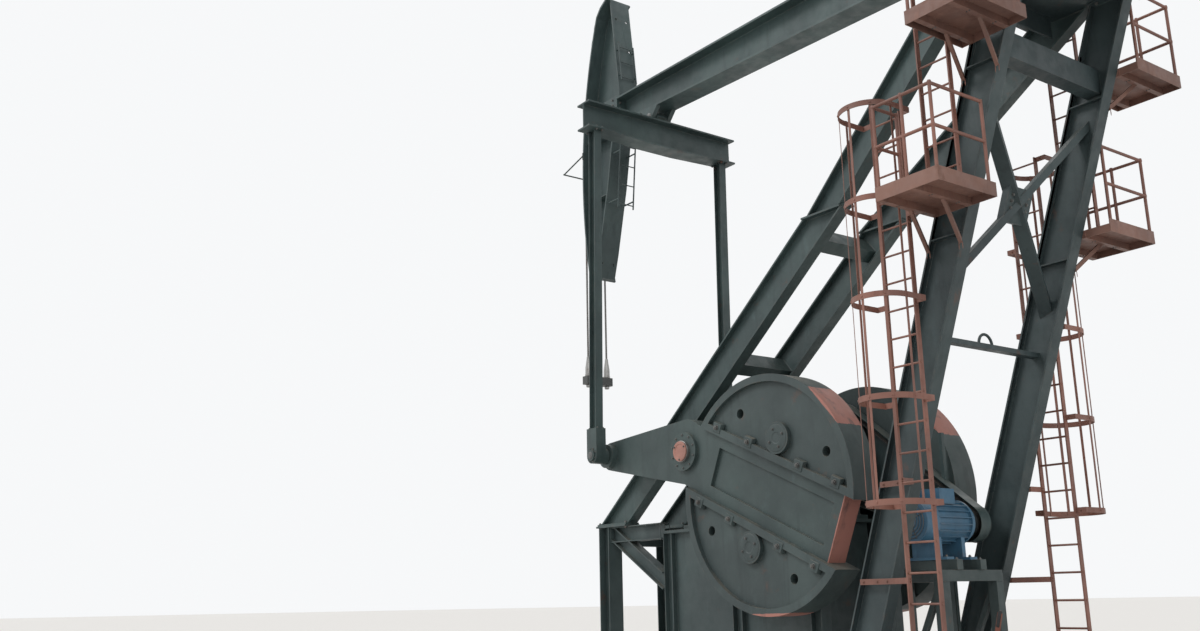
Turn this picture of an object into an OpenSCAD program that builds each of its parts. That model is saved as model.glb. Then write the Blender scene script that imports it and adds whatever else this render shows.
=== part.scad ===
// Front-mounted beam pumping unit, with its beam near the middle of the stroke.
// X runs from the well (minus) to the motor (plus), Y across the unit, Z up.
// The origin lies on the ground straight below the crankshaft.

/* [Linkage] */
// Height of the crankshaft
shaft_h = 3450; // [3400:10:3500]
// Crankshaft to wrist pin
crank_r = 1650; // [1560:10:1700]
// Angle of the crank arm above level at rest
crank_rest = 4; // [2:0.5:6]
// Crankshaft to the beam's bearing, level
pivot_x = 5550; // [5500:10:5600]
// Height of the beam's bearing
pivot_h = 8350; // [8300:10:8400]
// Beam bearing to the face of the head
head_r = 8850; // [8810:10:8890]
// Beam bearing to the yoke pin, level
yoke_r = 7100; // [7050:10:7150]
// Yoke pin to the beam's underside above it
yoke_drop = 130; // [110:5:150]

/* [Walking beam] */
// Beam's underside above its bearing
beam_stand = 415; // [390:5:430]
// Depth of the beam over its bearing
beam_depth_rear = 665; // [640:5:700]
// Depth of the beam at the head
beam_depth_front = 480; // [460:5:520]
// Width of the beam's flanges
beam_w = 380; // [340:10:400]
// Thickness of the beam's flanges
beam_flange = 30; // [20:2:36]
// Thickness of the beam's web
beam_web = 22; // [16:2:30]
// Rise of the beam's underside, from its bearing to the head
beam_rise = 325; // [310:5:340]
// Tail of the beam behind its bearing
beam_tail = 700; // [600:20:760]
// Distance between the stiffeners over the bearing
stiff_gap = 400; // [300:20:500]

/* [Head] */
// Width of the head's face
head_w = 500; // [470:10:530]
// Width of the head's rear flange
head_back_w = 376; // [350:2:380]
// Thickness of the head's web and rear flange
head_web = 24; // [16:2:30]
// Thickness of the face plate
face_t = 30; // [20:2:36]
// Lower end of the face, in degrees below the bearing
head_low = 11; // [10.8:0.1:11.4]
// Upper end of the face, in degrees above the bearing
head_high = 18.7; // [18.3:0.1:19.1]
// Depth of the head at the beam
head_depth = 890; // [860:10:920]
// Depth of the head at its lower end
head_tip = 90; // [80:5:120]
// Diameter of the wire ropes
rope_d = 32; // [26:2:36]
// Distance between the two ropes
rope_gap = 362; // [340:2:380]
// Height of the carrier bar's top
carrier_h = 5080; // [5040:10:5120]
// Bore of the carrier bar for the polished rod
carrier_bore = 42; // [38:1:46]

/* [Yoke and pitmans] */
// Half the distance between the pitmans
pitman_y = 1240; // [1234:1:1246]
// Depth of a pitman, along X
pitman_d = 150; // [130:5:170]
// Width of a pitman, along Y
pitman_w = 130; // [110:5:150]
// Depth of the yoke at its middle
yoke_mid = 450; // [430:10:480]
// Depth of the yoke at its ends
yoke_end = 415; // [390:5:425]
// Width of the yoke
yoke_w = 300; // [260:10:320]
// Half the length of the yoke
yoke_half = 1450; // [1420:10:1480]

/* [Cranks] */
// Half the distance between the cranks' inner faces
crank_y = 720; // [712:2:730]
// Thickness of a crank
crank_t = 270; // [250:5:280]
// Radius of the crank round its wrist pin
crank_tip = 195; // [180:5:210]
// Radius of the crank round the shaft
crank_hub = 420; // [400:10:440]
// Angle of the weights below level at rest
weight_drop = 24; // [22:1:26]
// Crankshaft to the middle of the weights
weight_reach = 1620; // [1580:10:1640]
// Radius of the weights
weight_r = 1420; // [1380:10:1440]
// Thickness of the weights
weight_t = 390; // [360:10:396]
// Width of the crank's tail, between the weights
tail_w = 800; // [740:20:860]
// Crankshaft to the end of the crank's tail
tail_end = 2790; // [2740:10:2840]
// Diameter of the crankshaft
shaft_d = 280; // [260:10:300]

/* [Legs] */
// Depth of the legs' beams
leg_d = 410; // [390:5:415]
// Width of the legs' beams
leg_w = 170; // [150:5:180]
// Web of the legs' beams
leg_web = 14; // [10:1:20]
// Flange of the legs' beams
leg_flange = 22; // [16:1:28]
// Half the distance between the rear legs
rear_y = 930; // [925:1:935]
// Foot of the rear legs, from the crankshaft
rear_foot_x = 2575; // [2560:5:2590]
// Lean of the rear legs, X over Z
rear_lean = 0.372; // [0.368:0.001:0.376]
// Beam's bearing over the cap that it stands on
bearing_rise = 240; // [230:5:260]
// Half the distance between the front legs, up to their knees
front_y = 530; // [526:1:532]
// Half the distance between the front legs' tops
front_top_y = 900; // [890:5:905]
// Well side of the crankshaft to the front legs' feet
front_foot_x = 2140; // [2120:5:2160]
// Crankshaft to the front legs' knees
knee_x = 2300; // [2280:10:2320]
// Height of the front legs' knees
knee_h = 6150; // [6130:10:6170]
// Crankshaft to the front legs' tops
front_top_x = 4820; // [4800:5:4830]
// Height of the plain tie between the rear legs
tie1_h = 4205; // [4180:5:4230]
// Height of the deep tie between the rear legs
tie2_h = 7130; // [7100:10:7160]
// Lower end of the crossed brace
brace_low = 4700; // [4670:10:4730]
// Upper end of the crossed brace
brace_high = 6650; // [6620:10:6680]

/* [Base and stand] */
// Height of the base
base_h = 420; // [400:10:440]
// Half the distance between the base's main beams
base_y = 520; // [515:5:520]
// Well end of the base
base_front = -2900; // [-3000:20:-2800]
// Motor end of the base
base_back = 4900; // [4840:20:5000]
// Top of the stand that carries the reducer
stand_top = 2500; // [2480:5:2520]
// Size of the front columns
column_d = 240; // [220:10:260]
// Top of the front columns
column_top = 2640; // [2600:10:2660]
// Crankshaft to the front columns
column_x = 2330; // [2300:10:2360]
// Radius of the anchor bolt holes
anchor_r = 18; // [14:1:22]

/* [Reducer and drive] */
// Half the width of the reducer's case
case_y = 420; // [400:5:425]
// Crankshaft to the fast shaft
fast_x = 1150; // [1100:10:1200]
// Diameter of the large sheave
sheave_d = 1080; // [1000:20:1120]
// Diameter of the motor sheave
pinion_d = 300; // [260:10:340]
// Width of the sheaves
sheave_w = 110; // [90:5:120]
// Middle of the belts, across the unit
belt_y = 545; // [540:1:550]
// Number of belts
belt_count = 4; // [3:1:5]
// Crankshaft to the motor
motor_x = 3150; // [3120:10:3180]
// Height of the motor's shaft
motor_h = 2370; // [2350:10:2400]
// Diameter of the motor's body
motor_d = 500; // [460:10:540]

/* [Ladders and platforms] */
// Half the distance between the ladders
ladder_y = 1224; // [1215:1:1235]
// Crankshaft to the lower ladders
ladder_x = 3875; // [3860:5:3880]
// Width over the rungs
ladder_w = 380; // [360:5:400]
// Spacing of the rungs
rung_pitch = 300; // [280:5:320]
// Crankshaft to the upper ladders
ladder2_x = 4560; // [4550:5:4565]
// Floor of the lower platforms
deck1_h = 5530; // [5510:5:5550]
// Floor of the upper platforms
deck2_h = 7250; // [7230:5:7270]
// Length of a platform, along X
deck_l = 780; // [760:5:800]
// Width of a platform, along Y
deck_w = 910; // [890:5:930]
// Height of the handrails
rail_h = 950; // [900:10:1000]
// Radius of the ladder cages
cage_r = 320; // [300:5:330]
// Height of the lowest hoop
hoop_low = 2440; // [2400:10:2480]
// Top of the cage, above the lower platform
cage_rise = 1130; // [1100:10:1160]
// Number of hoops on a cage
cage_hoops = 5; // [4:1:6]

/* [Hidden] */
$fn = 48;

GREEN = "#2f4a44";
DARK = "#2a2d33";
RUST = "#a8604a";
STEEL = "#7d8286";
far = 20000;
seat = 0.3;              // gap between round faces that lie on each other
run = 0.05;              // clearance of a shaft in its bearing
fast_d = 90;
fast_at = [fast_x, shaft_h];
motor_at = [motor_x, motor_h];

cap_t = 50;
leg_top = pivot_h - bearing_rise - cap_t;
front_foot = [-front_foot_x, front_y, column_top];
front_knee = [knee_x, front_y, knee_h];
front_top = [front_top_x, front_top_y, leg_top];
wrist = [-crank_r * cos(crank_rest), shaft_h + crank_r * sin(crank_rest)];
yoke_x = pivot_x - yoke_r;
beam_x1 = pivot_x - head_r + head_depth;
beam_low_z = pivot_h + beam_stand;
yoke_h = beam_low(yoke_x) - yoke_drop;
pin_d = 180;             // beam shaft
yoke_pin_d = 100;
clamp_t = 75;            // thickness of the clamps that hang the yoke
clamp_r = 74;
boss_y = crank_y + crank_t + 95;      // outer face of the crank's wrist boss
bearing_w = 2 * (pitman_y - boss_y - 15);
rope_r = rope_d / 2;
rope_x = pivot_x - head_r - rope_r - seat;

// Height of the beam's underside
function beam_low(x) = beam_low_z + beam_rise * (pivot_x - x) / (pivot_x - beam_x1);

// Shared shapes

// Flat plate drawn in X and Z, from y1 to y2
module slab(y1, y2) {
    translate([0, y2, 0]) rotate([90, 0, 0]) linear_extrude(y2 - y1) children();
}

// Round bar along Y from y1 to y2, at x and z
module round_y(x, z, d, y1, y2) {
    translate([x, y2, z]) rotate([90, 0, 0]) cylinder(d = d, h = y2 - y1);
}

module both_sides() {
    children();
    mirror([0, 1, 0]) children();
}

// The right-hand copy of a piece drawn on the left
module other_side() {
    mirror([0, 1, 0]) children();
}

// Rolled beam in section: depth along x, width along y
module i_section(d, w, web, flange) {
    square([d, web], center = true);
    for (s = [-1, 1]) translate([s * (d - flange) / 2, 0]) square([flange, w], center = true);
}

// Section drawn in x and y, run from p to q and past both by extra
module run_between(p, q, extra = 0) {
    v = q - p;
    len = norm(v);
    translate(p) rotate([0, acos(v.z / len), atan2(v.y, v.x)])
        translate([0, 0, -extra]) linear_extrude(len + 2 * extra) children();
}

module between_levels(z1, z2) {
    intersection() {
        children();
        translate([-far, -far, z1]) cube([2 * far, 2 * far, z2 - z1]);
    }
}

module box(x1, x2, y1, y2, z1, z2) {
    translate([x1, y1, z1]) cube([x2 - x1, y2 - y1, z2 - z1]);
}

// Points along an arc about c, from angle a1 to a2
function arc(c, r, a1, a2, n) = [for (i = [0 : n]) let (a = a1 + (a2 - a1) * i / n) c + r * [cos(a), sin(a)]];

// Outline round two circles, as a belt runs
module belt_outline(c1, r1, c2, r2) {
    a = atan2(c2.y - c1.y, c2.x - c1.x);
    b = acos((r1 - r2) / norm(c2 - c1));
    polygon(concat(arc(c1, r1, a + b, a - b + 360, 30), arc(c2, r2, a - b, a + b, 18)));
}

// Base

base_w = 260;
base_flange = 26;
cross_x = [-column_x, -700, 1300, rear_foot_x + 15, motor_x + 400, base_back - 450];
foot_t = 25;
outrigger_y = 1160;

module base_rails() color(DARK) {
    difference() {
        both_sides() translate([base_front, -base_y, base_h / 2]) rotate([0, 90, 0])
            linear_extrude(base_back - base_front) i_section(base_h, base_w, 16, base_flange);
        for (x = [base_front + 300, base_back - 300], s = [-1, 1])
            translate([x, s * (base_y + 80), -1]) cylinder(r = anchor_r, h = base_flange + 2);
    }
}

// Cross beam between y1 and y2 at x, as deep as the base
module cross_beam(x, y1, y2) {
    translate([x, y1, base_h / 2]) rotate([-90, 0, 0]) rotate([0, 0, 90])
        linear_extrude(y2 - y1) i_section(base_h, 220, 14, base_flange);
}

module base_cross_beams() color(DARK) {
    inner = base_y - base_w / 2;
    for (x = cross_x) cross_beam(x, -inner, inner);
    box(-180, 180, -inner, inner, 0, 30);
    // outriggers under the rear legs
    both_sides() union() {
        cross_beam(rear_foot_x + 15, -outrigger_y, -(base_y + base_w / 2));
        box(rear_foot_x - 190, rear_foot_x + 220, -outrigger_y - 20, -outrigger_y, 0, base_h);
    }
}

// Front stand and reducer stand

stand_x1 = -1050;
stand_x2 = 1830;
stand_w = 1160;

column_foot = [340, 270];
column_head = 710;       // length of the plate that the front leg stands on

module front_columns() color(DARK) {
    both_sides() translate([-column_x - column_foot.x / 2, -front_foot.y - column_foot.y / 2, 0]) {
        translate([0, 0, base_h]) cube([column_foot.x, column_foot.y, foot_t]);
        translate([column_foot.x / 2, column_foot.y / 2, base_h + foot_t])
            linear_extrude(column_top - base_h - 2 * foot_t) i_section(column_d, column_d, 12, 18);
        translate([0, 0, column_top - foot_t]) cube([column_head, column_foot.y, foot_t]);
    }
}

// Beams from the columns' heads to the reducer stand, each with a slanting brace below it
stand_beam_d = 220;
stand_brace_run = [1700, -1040];

module stand_braces() color(DARK) {
    z2 = column_top - foot_t;
    p = [-column_x, -front_y, z2];
    both_sides() translate([0, -front_y, z2 - stand_beam_d / 2]) rotate([0, 90, 0])
        translate([0, 0, -column_x + column_d / 2]) linear_extrude(stand_x1 + column_x - column_d / 2)
            i_section(stand_beam_d, 160, 10, 16);
    both_sides() intersection() {
        run_between(p, p + [stand_brace_run.x, 0, stand_brace_run.y]) i_section(200, 150, 10, 16);
        box(-column_x + column_d / 2, stand_x1, -far, far, base_h, z2);
    }
    box(-column_x - 60, -column_x + 60, -front_y + 6, front_y - 6, z2 - 260, z2);
}

module reducer_stand() color(DARK) {
    w = stand_w / 2;
    for (s = [-1, 1]) box(stand_x1, stand_x2, s * (w - 60) - 60, s * (w - 60) + 60, base_h, base_h + 120);
    for (x = [stand_x1, (stand_x1 + stand_x2) / 2 - 90, stand_x2 - 180], s = [-1, 1])
        translate([x + 90, s * (w - 90), base_h + 120]) linear_extrude(stand_top - base_h - 160)
            i_section(180, 160, 12, 16);
    box(stand_x1, stand_x2, -w, w, stand_top - 40, stand_top);
    for (s = [-1, 1])
        box(stand_x1 + 180, stand_x2 - 180, s * (w - 90) - 8, s * (w - 90) + 8, base_h + 120, stand_top - 40);
    for (x = [stand_x1 + 82, stand_x2 - 98]) box(x, x + 16, -w + 170, w - 170, base_h + 300, stand_top - 40);
}

// Gear reducer: case up to the shaft line, cover above it

case_x1 = -700;
case_x2 = 1700;
split_t = 50;
case_rim = 50;
case_lip = 20;
cover_h = 640;

// Upright ribs on both sides of the case
module case_ribs(xs, z1, z2) {
    for (x = xs) both_sides() box(x - 14, x + 14, -case_y - case_rim, -case_y, z1, z2);
}

// Bearing bosses of the slow and the fast shaft, above or below the split
module case_bosses(z1, z2) {
    intersection() {
        union() {
            slab(-case_y - 160, case_y + 160) translate([0, shaft_h]) circle(d = 620);
            slab(-case_y - 30, case_y + 30) translate([fast_x, shaft_h]) circle(d = 300);
        }
        box(-far, far, -far, far, z1, z2);
    }
}

module reducer_case() color(GREEN) {
    foot_z = stand_top + 60;
    difference() {
        union() {
            slab(-case_y, case_y) polygon([[case_x1 + 120, foot_z], [case_x2 - 60, foot_z],
                [case_x2, shaft_h - split_t], [case_x1, shaft_h - split_t]]);
            box(case_x1 - case_lip, case_x2 + case_lip, -case_y - case_rim, case_y + case_rim, stand_top, foot_z);
            box(case_x1 - case_lip, case_x2 + case_lip, -case_y - case_rim, case_y + case_rim,
                shaft_h - split_t, shaft_h);
            case_ribs([-520, 0, 620, fast_x + 200], foot_z, shaft_h - split_t);
            case_bosses(0, shaft_h);
        }
        round_y(0, shaft_h, shaft_d + 2 * run, -far, far);
        round_y(fast_x, shaft_h, fast_d + 2 * run, -far, far);
    }
}

module reducer_cover() color(GREEN) {
    top = shaft_h + cover_h;
    difference() {
        union() {
            slab(-case_y, case_y) polygon([[case_x1, shaft_h + split_t], [case_x2, shaft_h + split_t],
                [case_x2 - 220, shaft_h + 360], [560, top], [-420, top], [case_x1 + 60, shaft_h + 420]]);
            box(case_x1 - case_lip, case_x2 + case_lip, -case_y - case_rim, case_y + case_rim,
                shaft_h, shaft_h + split_t);
            case_ribs([0, 400], shaft_h + split_t, shaft_h + 420);
            box(-300, 300, -220, 220, top, top + 30);
            translate([-180, 0, top + 30]) cylinder(d = 90, h = 110);
            case_bosses(shaft_h, top);
        }
        round_y(0, shaft_h, shaft_d + 2 * run, -far, far);
        round_y(fast_x, shaft_h, fast_d + 2 * run, -far, far);
    }
}

// Drive: fast shaft with its sheave, belts, motor, guard and brake

module sheave(x, z, d, bore) {
    difference() {
        union() {
            round_y(x, z, d - 24, belt_y - sheave_w / 2, belt_y + sheave_w / 2);
            for (i = [0 : belt_count]) {
                y = belt_y - sheave_w / 2 + i * (sheave_w - 8) / belt_count;
                round_y(x, z, d, y, y + 8);
            }
        }
        if (bore) {
            round_y(x, z, bore, 0, far);
            for (a = [30 : 60 : 330])
                translate([x, 0, z] + d * 0.3 * [cos(a), 0, sin(a)]) round_y(0, 0, d * 0.17, 0, far);
        }
    }
}

module reducer_sheave() color(DARK) {
    sheave(fast_x, shaft_h, sheave_d, 130);
    round_y(fast_x, shaft_h, 130, belt_y - sheave_w / 2, belt_y + sheave_w / 2);
    round_y(fast_x, shaft_h, fast_d, -case_y - 60, belt_y - sheave_w / 2);
}

belt_seat = 10.6;

module drive_belts() color("#17181a") {
    pitch = (sheave_w - 8) / belt_count;
    for (i = [0 : belt_count - 1])
        slab(belt_y - sheave_w / 2 + 9 + i * pitch, belt_y - sheave_w / 2 - 1 + (i + 1) * pitch) difference() {
            belt_outline(fast_at, sheave_d / 2, motor_at, pinion_d / 2);
            belt_outline(fast_at, sheave_d / 2 - belt_seat, motor_at, pinion_d / 2 - belt_seat);
        }
}

guard_gap = 60;
guard_t = 6;
guard_y1 = belt_y - 70;
guard_y2 = belt_y + 90;
guard_r1 = sheave_d / 2 + guard_gap;
guard_r2 = pinion_d / 2 + guard_gap;

module guard_outline(t) {
    belt_outline(fast_at, guard_r1 + t, motor_at, guard_r2 + t);
}

// Pan round the belts, closed on its outer side, on two posts
module belt_guard() color(GREEN) {
    post = 50;
    slab(guard_y1, guard_y2) difference() {
        guard_outline(guard_t);
        guard_outline(0);
    }
    slab(guard_y2, guard_y2 + guard_t) guard_outline(guard_t);
    for (x = [stand_x2 + 370, motor_x - motor_post_x]) difference() {
        box(x - post / 2, x + post / 2, guard_y2 - post - 10, guard_y2 - 10, base_h, shaft_h);
        slab(guard_y1, guard_y2) guard_outline(1);
    }
}

module brake_drum() color(DARK) {
    round_y(fast_x, shaft_h, 460, -case_y - 180, -case_y - 60);
}

module brake_lever() color(RUST) {
    x = base_back - 900;
    box(x - 60, x + 60, -base_y - 60, -base_y + 60, base_h, base_h + 90);
    round_y(x, base_h + 60, 30, -base_y - 90, -base_y + 60);
    run_between([x, -base_y - 76, base_h + 60], [x + 260, -base_y - 76, base_h + 980])
        square([50, 16], center = true);
}

rail_t = 110;
motor_foot_y = [-240, 160];
motor_seat = motor_h - 420;
motor_frame_top = motor_seat - rail_t;
motor_post = 120;
motor_post_x = 330;      // from the motor's middle to the posts under it
motor_post_y = 460;

// Rails under the motor's feet, on a raised frame that stands on the base
module motor_rails() color(DARK) {
    p = motor_post / 2;
    z = motor_frame_top - motor_post;
    for (y = motor_foot_y) box(motor_x - 420, motor_x + 420, y - 50, y + 50, motor_frame_top, motor_seat);
    translate([motor_x, 0, 0]) both_ends() {
        box(motor_post_x - p, motor_post_x + p, -motor_post_y - p, motor_post_y + p, z, motor_frame_top);
        both_sides() translate([motor_post_x, motor_post_y, 0]) box(-p, p, -p, p, base_h, z);
    }
    both_sides() intersection() {
        run_between([motor_x - motor_post_x, motor_post_y, base_h], [motor_x + motor_post_x, motor_post_y, z])
            square(motor_post / 2, center = true);
        box(motor_x - motor_post_x, motor_x + motor_post_x, 0, far, base_h, z);
    }
}

module motor() color(GREEN) {
    y1 = -430;
    y2 = 350;
    ribs = 20;
    slab(y1 + 150, y2 - 70) translate(motor_at) {
        circle(d = motor_d - 60);
        for (i = [0 : ribs - 1]) rotate((i + 0.5) * 360 / ribs) translate([0, -5]) square([motor_d / 2 - 4, 10]);
    }
    round_y(motor_x, motor_h, motor_d - 50, y2 - 90, y2);
    round_y(motor_x, motor_h, motor_d, y2 - 80, y2 - 50);
    round_y(motor_x, motor_h, motor_d - 20, y1 - 60, y1 + 160);
    foot = motor_seat;
    for (y = motor_foot_y) {
        box(motor_x - 300, motor_x + 300, y - 60, y + 60, foot, foot + 30);
        box(motor_x - 180, motor_x + 180, y - 30, y + 30, foot + 30, motor_h - motor_d * 0.35);
    }
    box(motor_x - 150, motor_x + 150, -140, 120, motor_h + motor_d / 2 - 60, motor_h + motor_d / 2 + 110);
    round_y(motor_x, motor_h, 70, y2, belt_y - sheave_w / 2);
}

module motor_sheave() color(DARK) {
    sheave(motor_x, motor_h, pinion_d, 0);
}

// Legs

rear_top_x = rear_foot_x + (leg_top - base_h) * rear_lean;

function rear_x(z) = rear_foot_x + (z - base_h) * rear_lean;

leg_plate = 260;         // half the length of the plates at a rear leg's ends

module rear_leg_left() color(DARK) {
    between_levels(base_h, leg_top) union() {
        run_between([rear_foot_x, -rear_y, base_h], [rear_top_x, -rear_y, leg_top], 300)
            i_section(leg_d, leg_w, leg_web, leg_flange);
        translate([rear_foot_x, -rear_y, 0]) box(-leg_plate, leg_plate + 20, -140, 140, base_h, base_h + foot_t);
        translate([rear_top_x, -rear_y, leg_top]) box(20 - leg_plate, leg_plate - 30, -110, 110, -foot_t, 0);
        for (z = [deck1_h, deck2_h]) translate([rear_x(z - 330), -rear_y, z - 330])
            box(-leg_d / 2 - 2, leg_d / 2 + 2, 7 - leg_w / 2, leg_w / 2 - 7, 0, 16);
    }
}

module rear_leg_right() other_side() rear_leg_left();

module front_leg_left() color(GREEN) {
    foot = [front_foot.x, -front_foot.y, front_foot.z];
    knee = [front_knee.x, -front_knee.y, front_knee.z];
    top = [front_top.x, -front_top.y, front_top.z];
    between_levels(column_top, leg_top) union() {
        between_levels(0, knee.z) run_between(foot, knee, 400) i_section(leg_d, leg_w, leg_web, leg_flange);
        between_levels(knee.z, far) run_between(knee, top, 400) i_section(leg_d, leg_w, leg_web, leg_flange);
        translate(knee) box(-350, 350, -100, 100, -12, 12);
        box(-column_x - 150, -column_x + 540, -front_y - 120, -front_y + 120, column_top, column_top + foot_t);
    }
}

module front_leg_right() other_side() front_leg_left();

// Ties between the front legs, inside the legs' flanges
module front_tie(p, h) {
    slope = atan2(front_knee.z - front_foot.z, front_knee.x - front_foot.x);
    y = p.y - leg_web / 2 - 0.1;
    slab(-y, y) translate([p.x, p.z]) rotate(slope) square([180, h], center = true);
}

function on_front_leg(t) = front_foot + (front_knee - front_foot) * t;

module front_ties() color(GREEN) {
    front_tie(on_front_leg(0.565), 260);
    front_tie(on_front_leg(0.93), 260);
}

tie1_d = 58;

module rear_ties() color(DARK) {
    y = rear_y - leg_web / 2;
    box(rear_x(tie1_h) - 50, rear_x(tie1_h) + 50, -y, y, tie1_h - tie1_d / 2, tie1_h + tie1_d / 2);
    translate([rear_x(tie1_h), 0, tie1_h + tie1_d / 2]) rotate([90, 0, 90]) rotate_extrude(angle = 180)
        translate([115, 0]) circle(r = 16, $fn = 16);
    box(rear_x(tie2_h) - 90, rear_x(tie2_h) + 90, -y, y, tie2_h - 150, tie2_h + 150);
}

// Two crossed channels in the plane of the rear legs
module rear_cross_brace() color(DARK) {
    z1 = brace_low;
    z2 = brace_high;
    mid = (z1 + z2) / 2;
    y = rear_y - leg_web / 2;
    intersection() {
        union() {
            for (s = [-1, 1]) run_between([rear_x(z1), -s * y, z1], [rear_x(z2), s * y, z2], 200)
                square([80, 150], center = true);
            run_between([rear_x(mid - 185), 0, mid - 185], [rear_x(mid + 185), 0, mid + 185])
                square([80, 420], center = true);
        }
        box(0, far, -y, y, z1 - 150, z2 + 150);
    }
}

// Top of the post and the beam's bearings

bearing_y1 = 470;
bearing_y2 = 720;

module post_cap() color(DARK) {
    box(front_top.x - 430, pivot_x + 420, -cap_y, cap_y, leg_top, leg_top + cap_t);
    for (x = [front_top.x - 100, pivot_x + 250])
        box(x, x + 30, -rear_y + 160, rear_y - 160, leg_top - 260, leg_top);
}

module saddle_bearings() color(GREEN) {
    z0 = leg_top + cap_t;
    both_sides() difference() {
        union() {
            box(pivot_x - 330, pivot_x + 330, -bearing_y2, -bearing_y1, z0, z0 + 60);
            slab(-bearing_y2, -bearing_y1) polygon([[pivot_x - 270, z0 + 60], [pivot_x + 270, z0 + 60],
                [pivot_x + 170, pivot_h], [pivot_x - 170, pivot_h]]);
            round_y(pivot_x, pivot_h, 340, -bearing_y2, -bearing_y1);
        }
        round_y(pivot_x, pivot_h, pin_d + 2 * run, -far, 0);
    }
}

// Ladders, cages and platforms, drawn on the left

ladder_top = deck1_h + cage_rise;
ladder2_top = deck2_h + 1000;
ladder_rail = 60;
stand_off_z = [1700, 2700];

module ladder(x, z1, z2, first) {
    for (s = [-1, 1]) box(x + s * ladder_w / 2 - 8, x + s * ladder_w / 2 + 8, -ladder_y - ladder_rail / 2,
        -ladder_y + ladder_rail / 2, z1, z2);
    for (z = [first : rung_pitch : z2 - 60]) translate([x - ladder_w / 2, -ladder_y, z]) rotate([0, 90, 0])
        cylinder(d = 24, h = ladder_w, $fn = 8);
}

// Flat bar that lies on the rear leg's edge and runs out to the ladder's near rail
module stand_off(z) {
    x1 = rear_x(z) - 190;
    x2 = rear_x(z) + 250;
    x3 = ladder_x - ladder_w / 2;
    y1 = -rear_y - leg_w / 2;
    translate([0, 0, z]) linear_extrude(60)
        polygon([[x1, y1], [x2, y1], [x3, -ladder_y + 20], [x3, -ladder_y + 4], [x2 - 6, y1 - 12], [x1, y1 - 12]]);
}

// Short bars from a ladder's far rail to the edge of a platform
module deck_tie(x, x_deck, z) {
    x1 = x + ladder_w / 2;
    box(x1, x_deck, -ladder_y - ladder_rail / 2, -ladder_y + ladder_rail / 2, z - 70, z - 10);
}

module left_ladders() color(RUST) {
    ladder(ladder_x, 0, ladder_top, rung_pitch);
    ladder(ladder2_x, deck1_h, ladder2_top, deck1_h + rung_pitch);
    for (z = stand_off_z) stand_off(z);
    deck_tie(ladder_x, deck1_x, deck1_h);
    deck_tie(ladder2_x, deck2_x, deck2_h);
}

module right_ladders() other_side() left_ladders();

hoop_h = 60;
hoop_t = 8;
strip_w = 30;
strip_t = 6;
hoop_y = -ladder_y - ladder_rail / 2 - cage_r + 60;       // middle of the hoops' round part
ladder_edge = ladder_w / 2 + 8 + seat;

// Round strap with straight ends, turned in to the ladder's rails
module hoop(x, z) {
    reach = cage_r - 60 + ladder_rail / 2;
    translate([x, hoop_y, z]) {
        rotate([0, 0, 180]) rotate_extrude(angle = 180, $fn = 96)
            translate([cage_r - hoop_t, 0]) square([hoop_t, hoop_h]);
        both_ends() {
            translate([cage_r - hoop_t, -1, 0]) cube([hoop_t, reach + 1, hoop_h]);
            translate([ladder_edge, reach - hoop_t, 0]) cube([cage_r - ladder_edge, hoop_t, hoop_h]);
        }
    }
}

module both_ends() {
    children();
    mirror([1, 0, 0]) children();
}

// Hoops, and the upright strips that are riveted inside them
module left_cage() color(RUST) {
    step = (ladder_top - hoop_h - hoop_low) / (cage_hoops - 1);
    strip_r = sqrt(pow(cage_r - hoop_t - 2 * seat, 2) - pow(strip_w / 2, 2));
    for (i = [0 : cage_hoops - 1]) hoop(ladder_x, hoop_low + i * step);
    for (a = [180, 225, 270, 315, 360])
        translate([ladder_x, hoop_y, hoop_low]) rotate([0, 0, a])
            translate([strip_r - strip_t, -strip_w / 2, 0]) cube([strip_t, strip_w, ladder_top - hoop_low]);
}

module right_cage() other_side() left_cage();

deck_y1 = rear_y + leg_w / 2;
deck1_x = ladder_x + cage_r + 35;
deck2_x = ladder2_x + ladder_w / 2 + 30;
flange_x = (leg_d - leg_flange) / 2 / cos(atan(rear_lean));

// Platform: floor plate, edge channel all round and two arms to the leg
module deck(x, z) {
    y2 = -deck_y1;
    y1 = y2 - deck_w;
    box(x, x + deck_l, y1, y2, z - 8, z);
    difference() {
        box(x, x + deck_l, y1, y2, z - 90, z + 60);
        box(x + 8, x + deck_l - 8, y1 + 8, y2 + 1, z, z + 61);
        box(x + 8, x + deck_l - 8, y1 + 8, y2 - 8, z - 91, z - 8);
    }
    for (s = [-1, 1]) translate([rear_x(z) + s * flange_x, 0, z]) box(-30, 30, y1 + 8, y2, -90, -8);
}

// Braces under a platform, from the edges of the leg's flanges
module knee_braces(z) {
    intersection() {
        for (s = [-1, 1]) run_between([rear_x(z - 420) + s * flange_x, -deck_y1, z - 420],
            [rear_x(z) + s * flange_x, -deck_y1 - 480, z], 100) square([44, 36], center = true);
        box(0, far, -far, -deck_y1, z - 500, z - 90);
    }
}

module left_decks() color(RUST) {
    deck(deck1_x, deck1_h);
    deck(deck2_x, deck2_h);
    knee_braces(deck1_h);
    knee_braces(deck2_h);
}

module right_decks() other_side() left_decks();

rail_d = 36;

cap_y = rear_y + 130;

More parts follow.
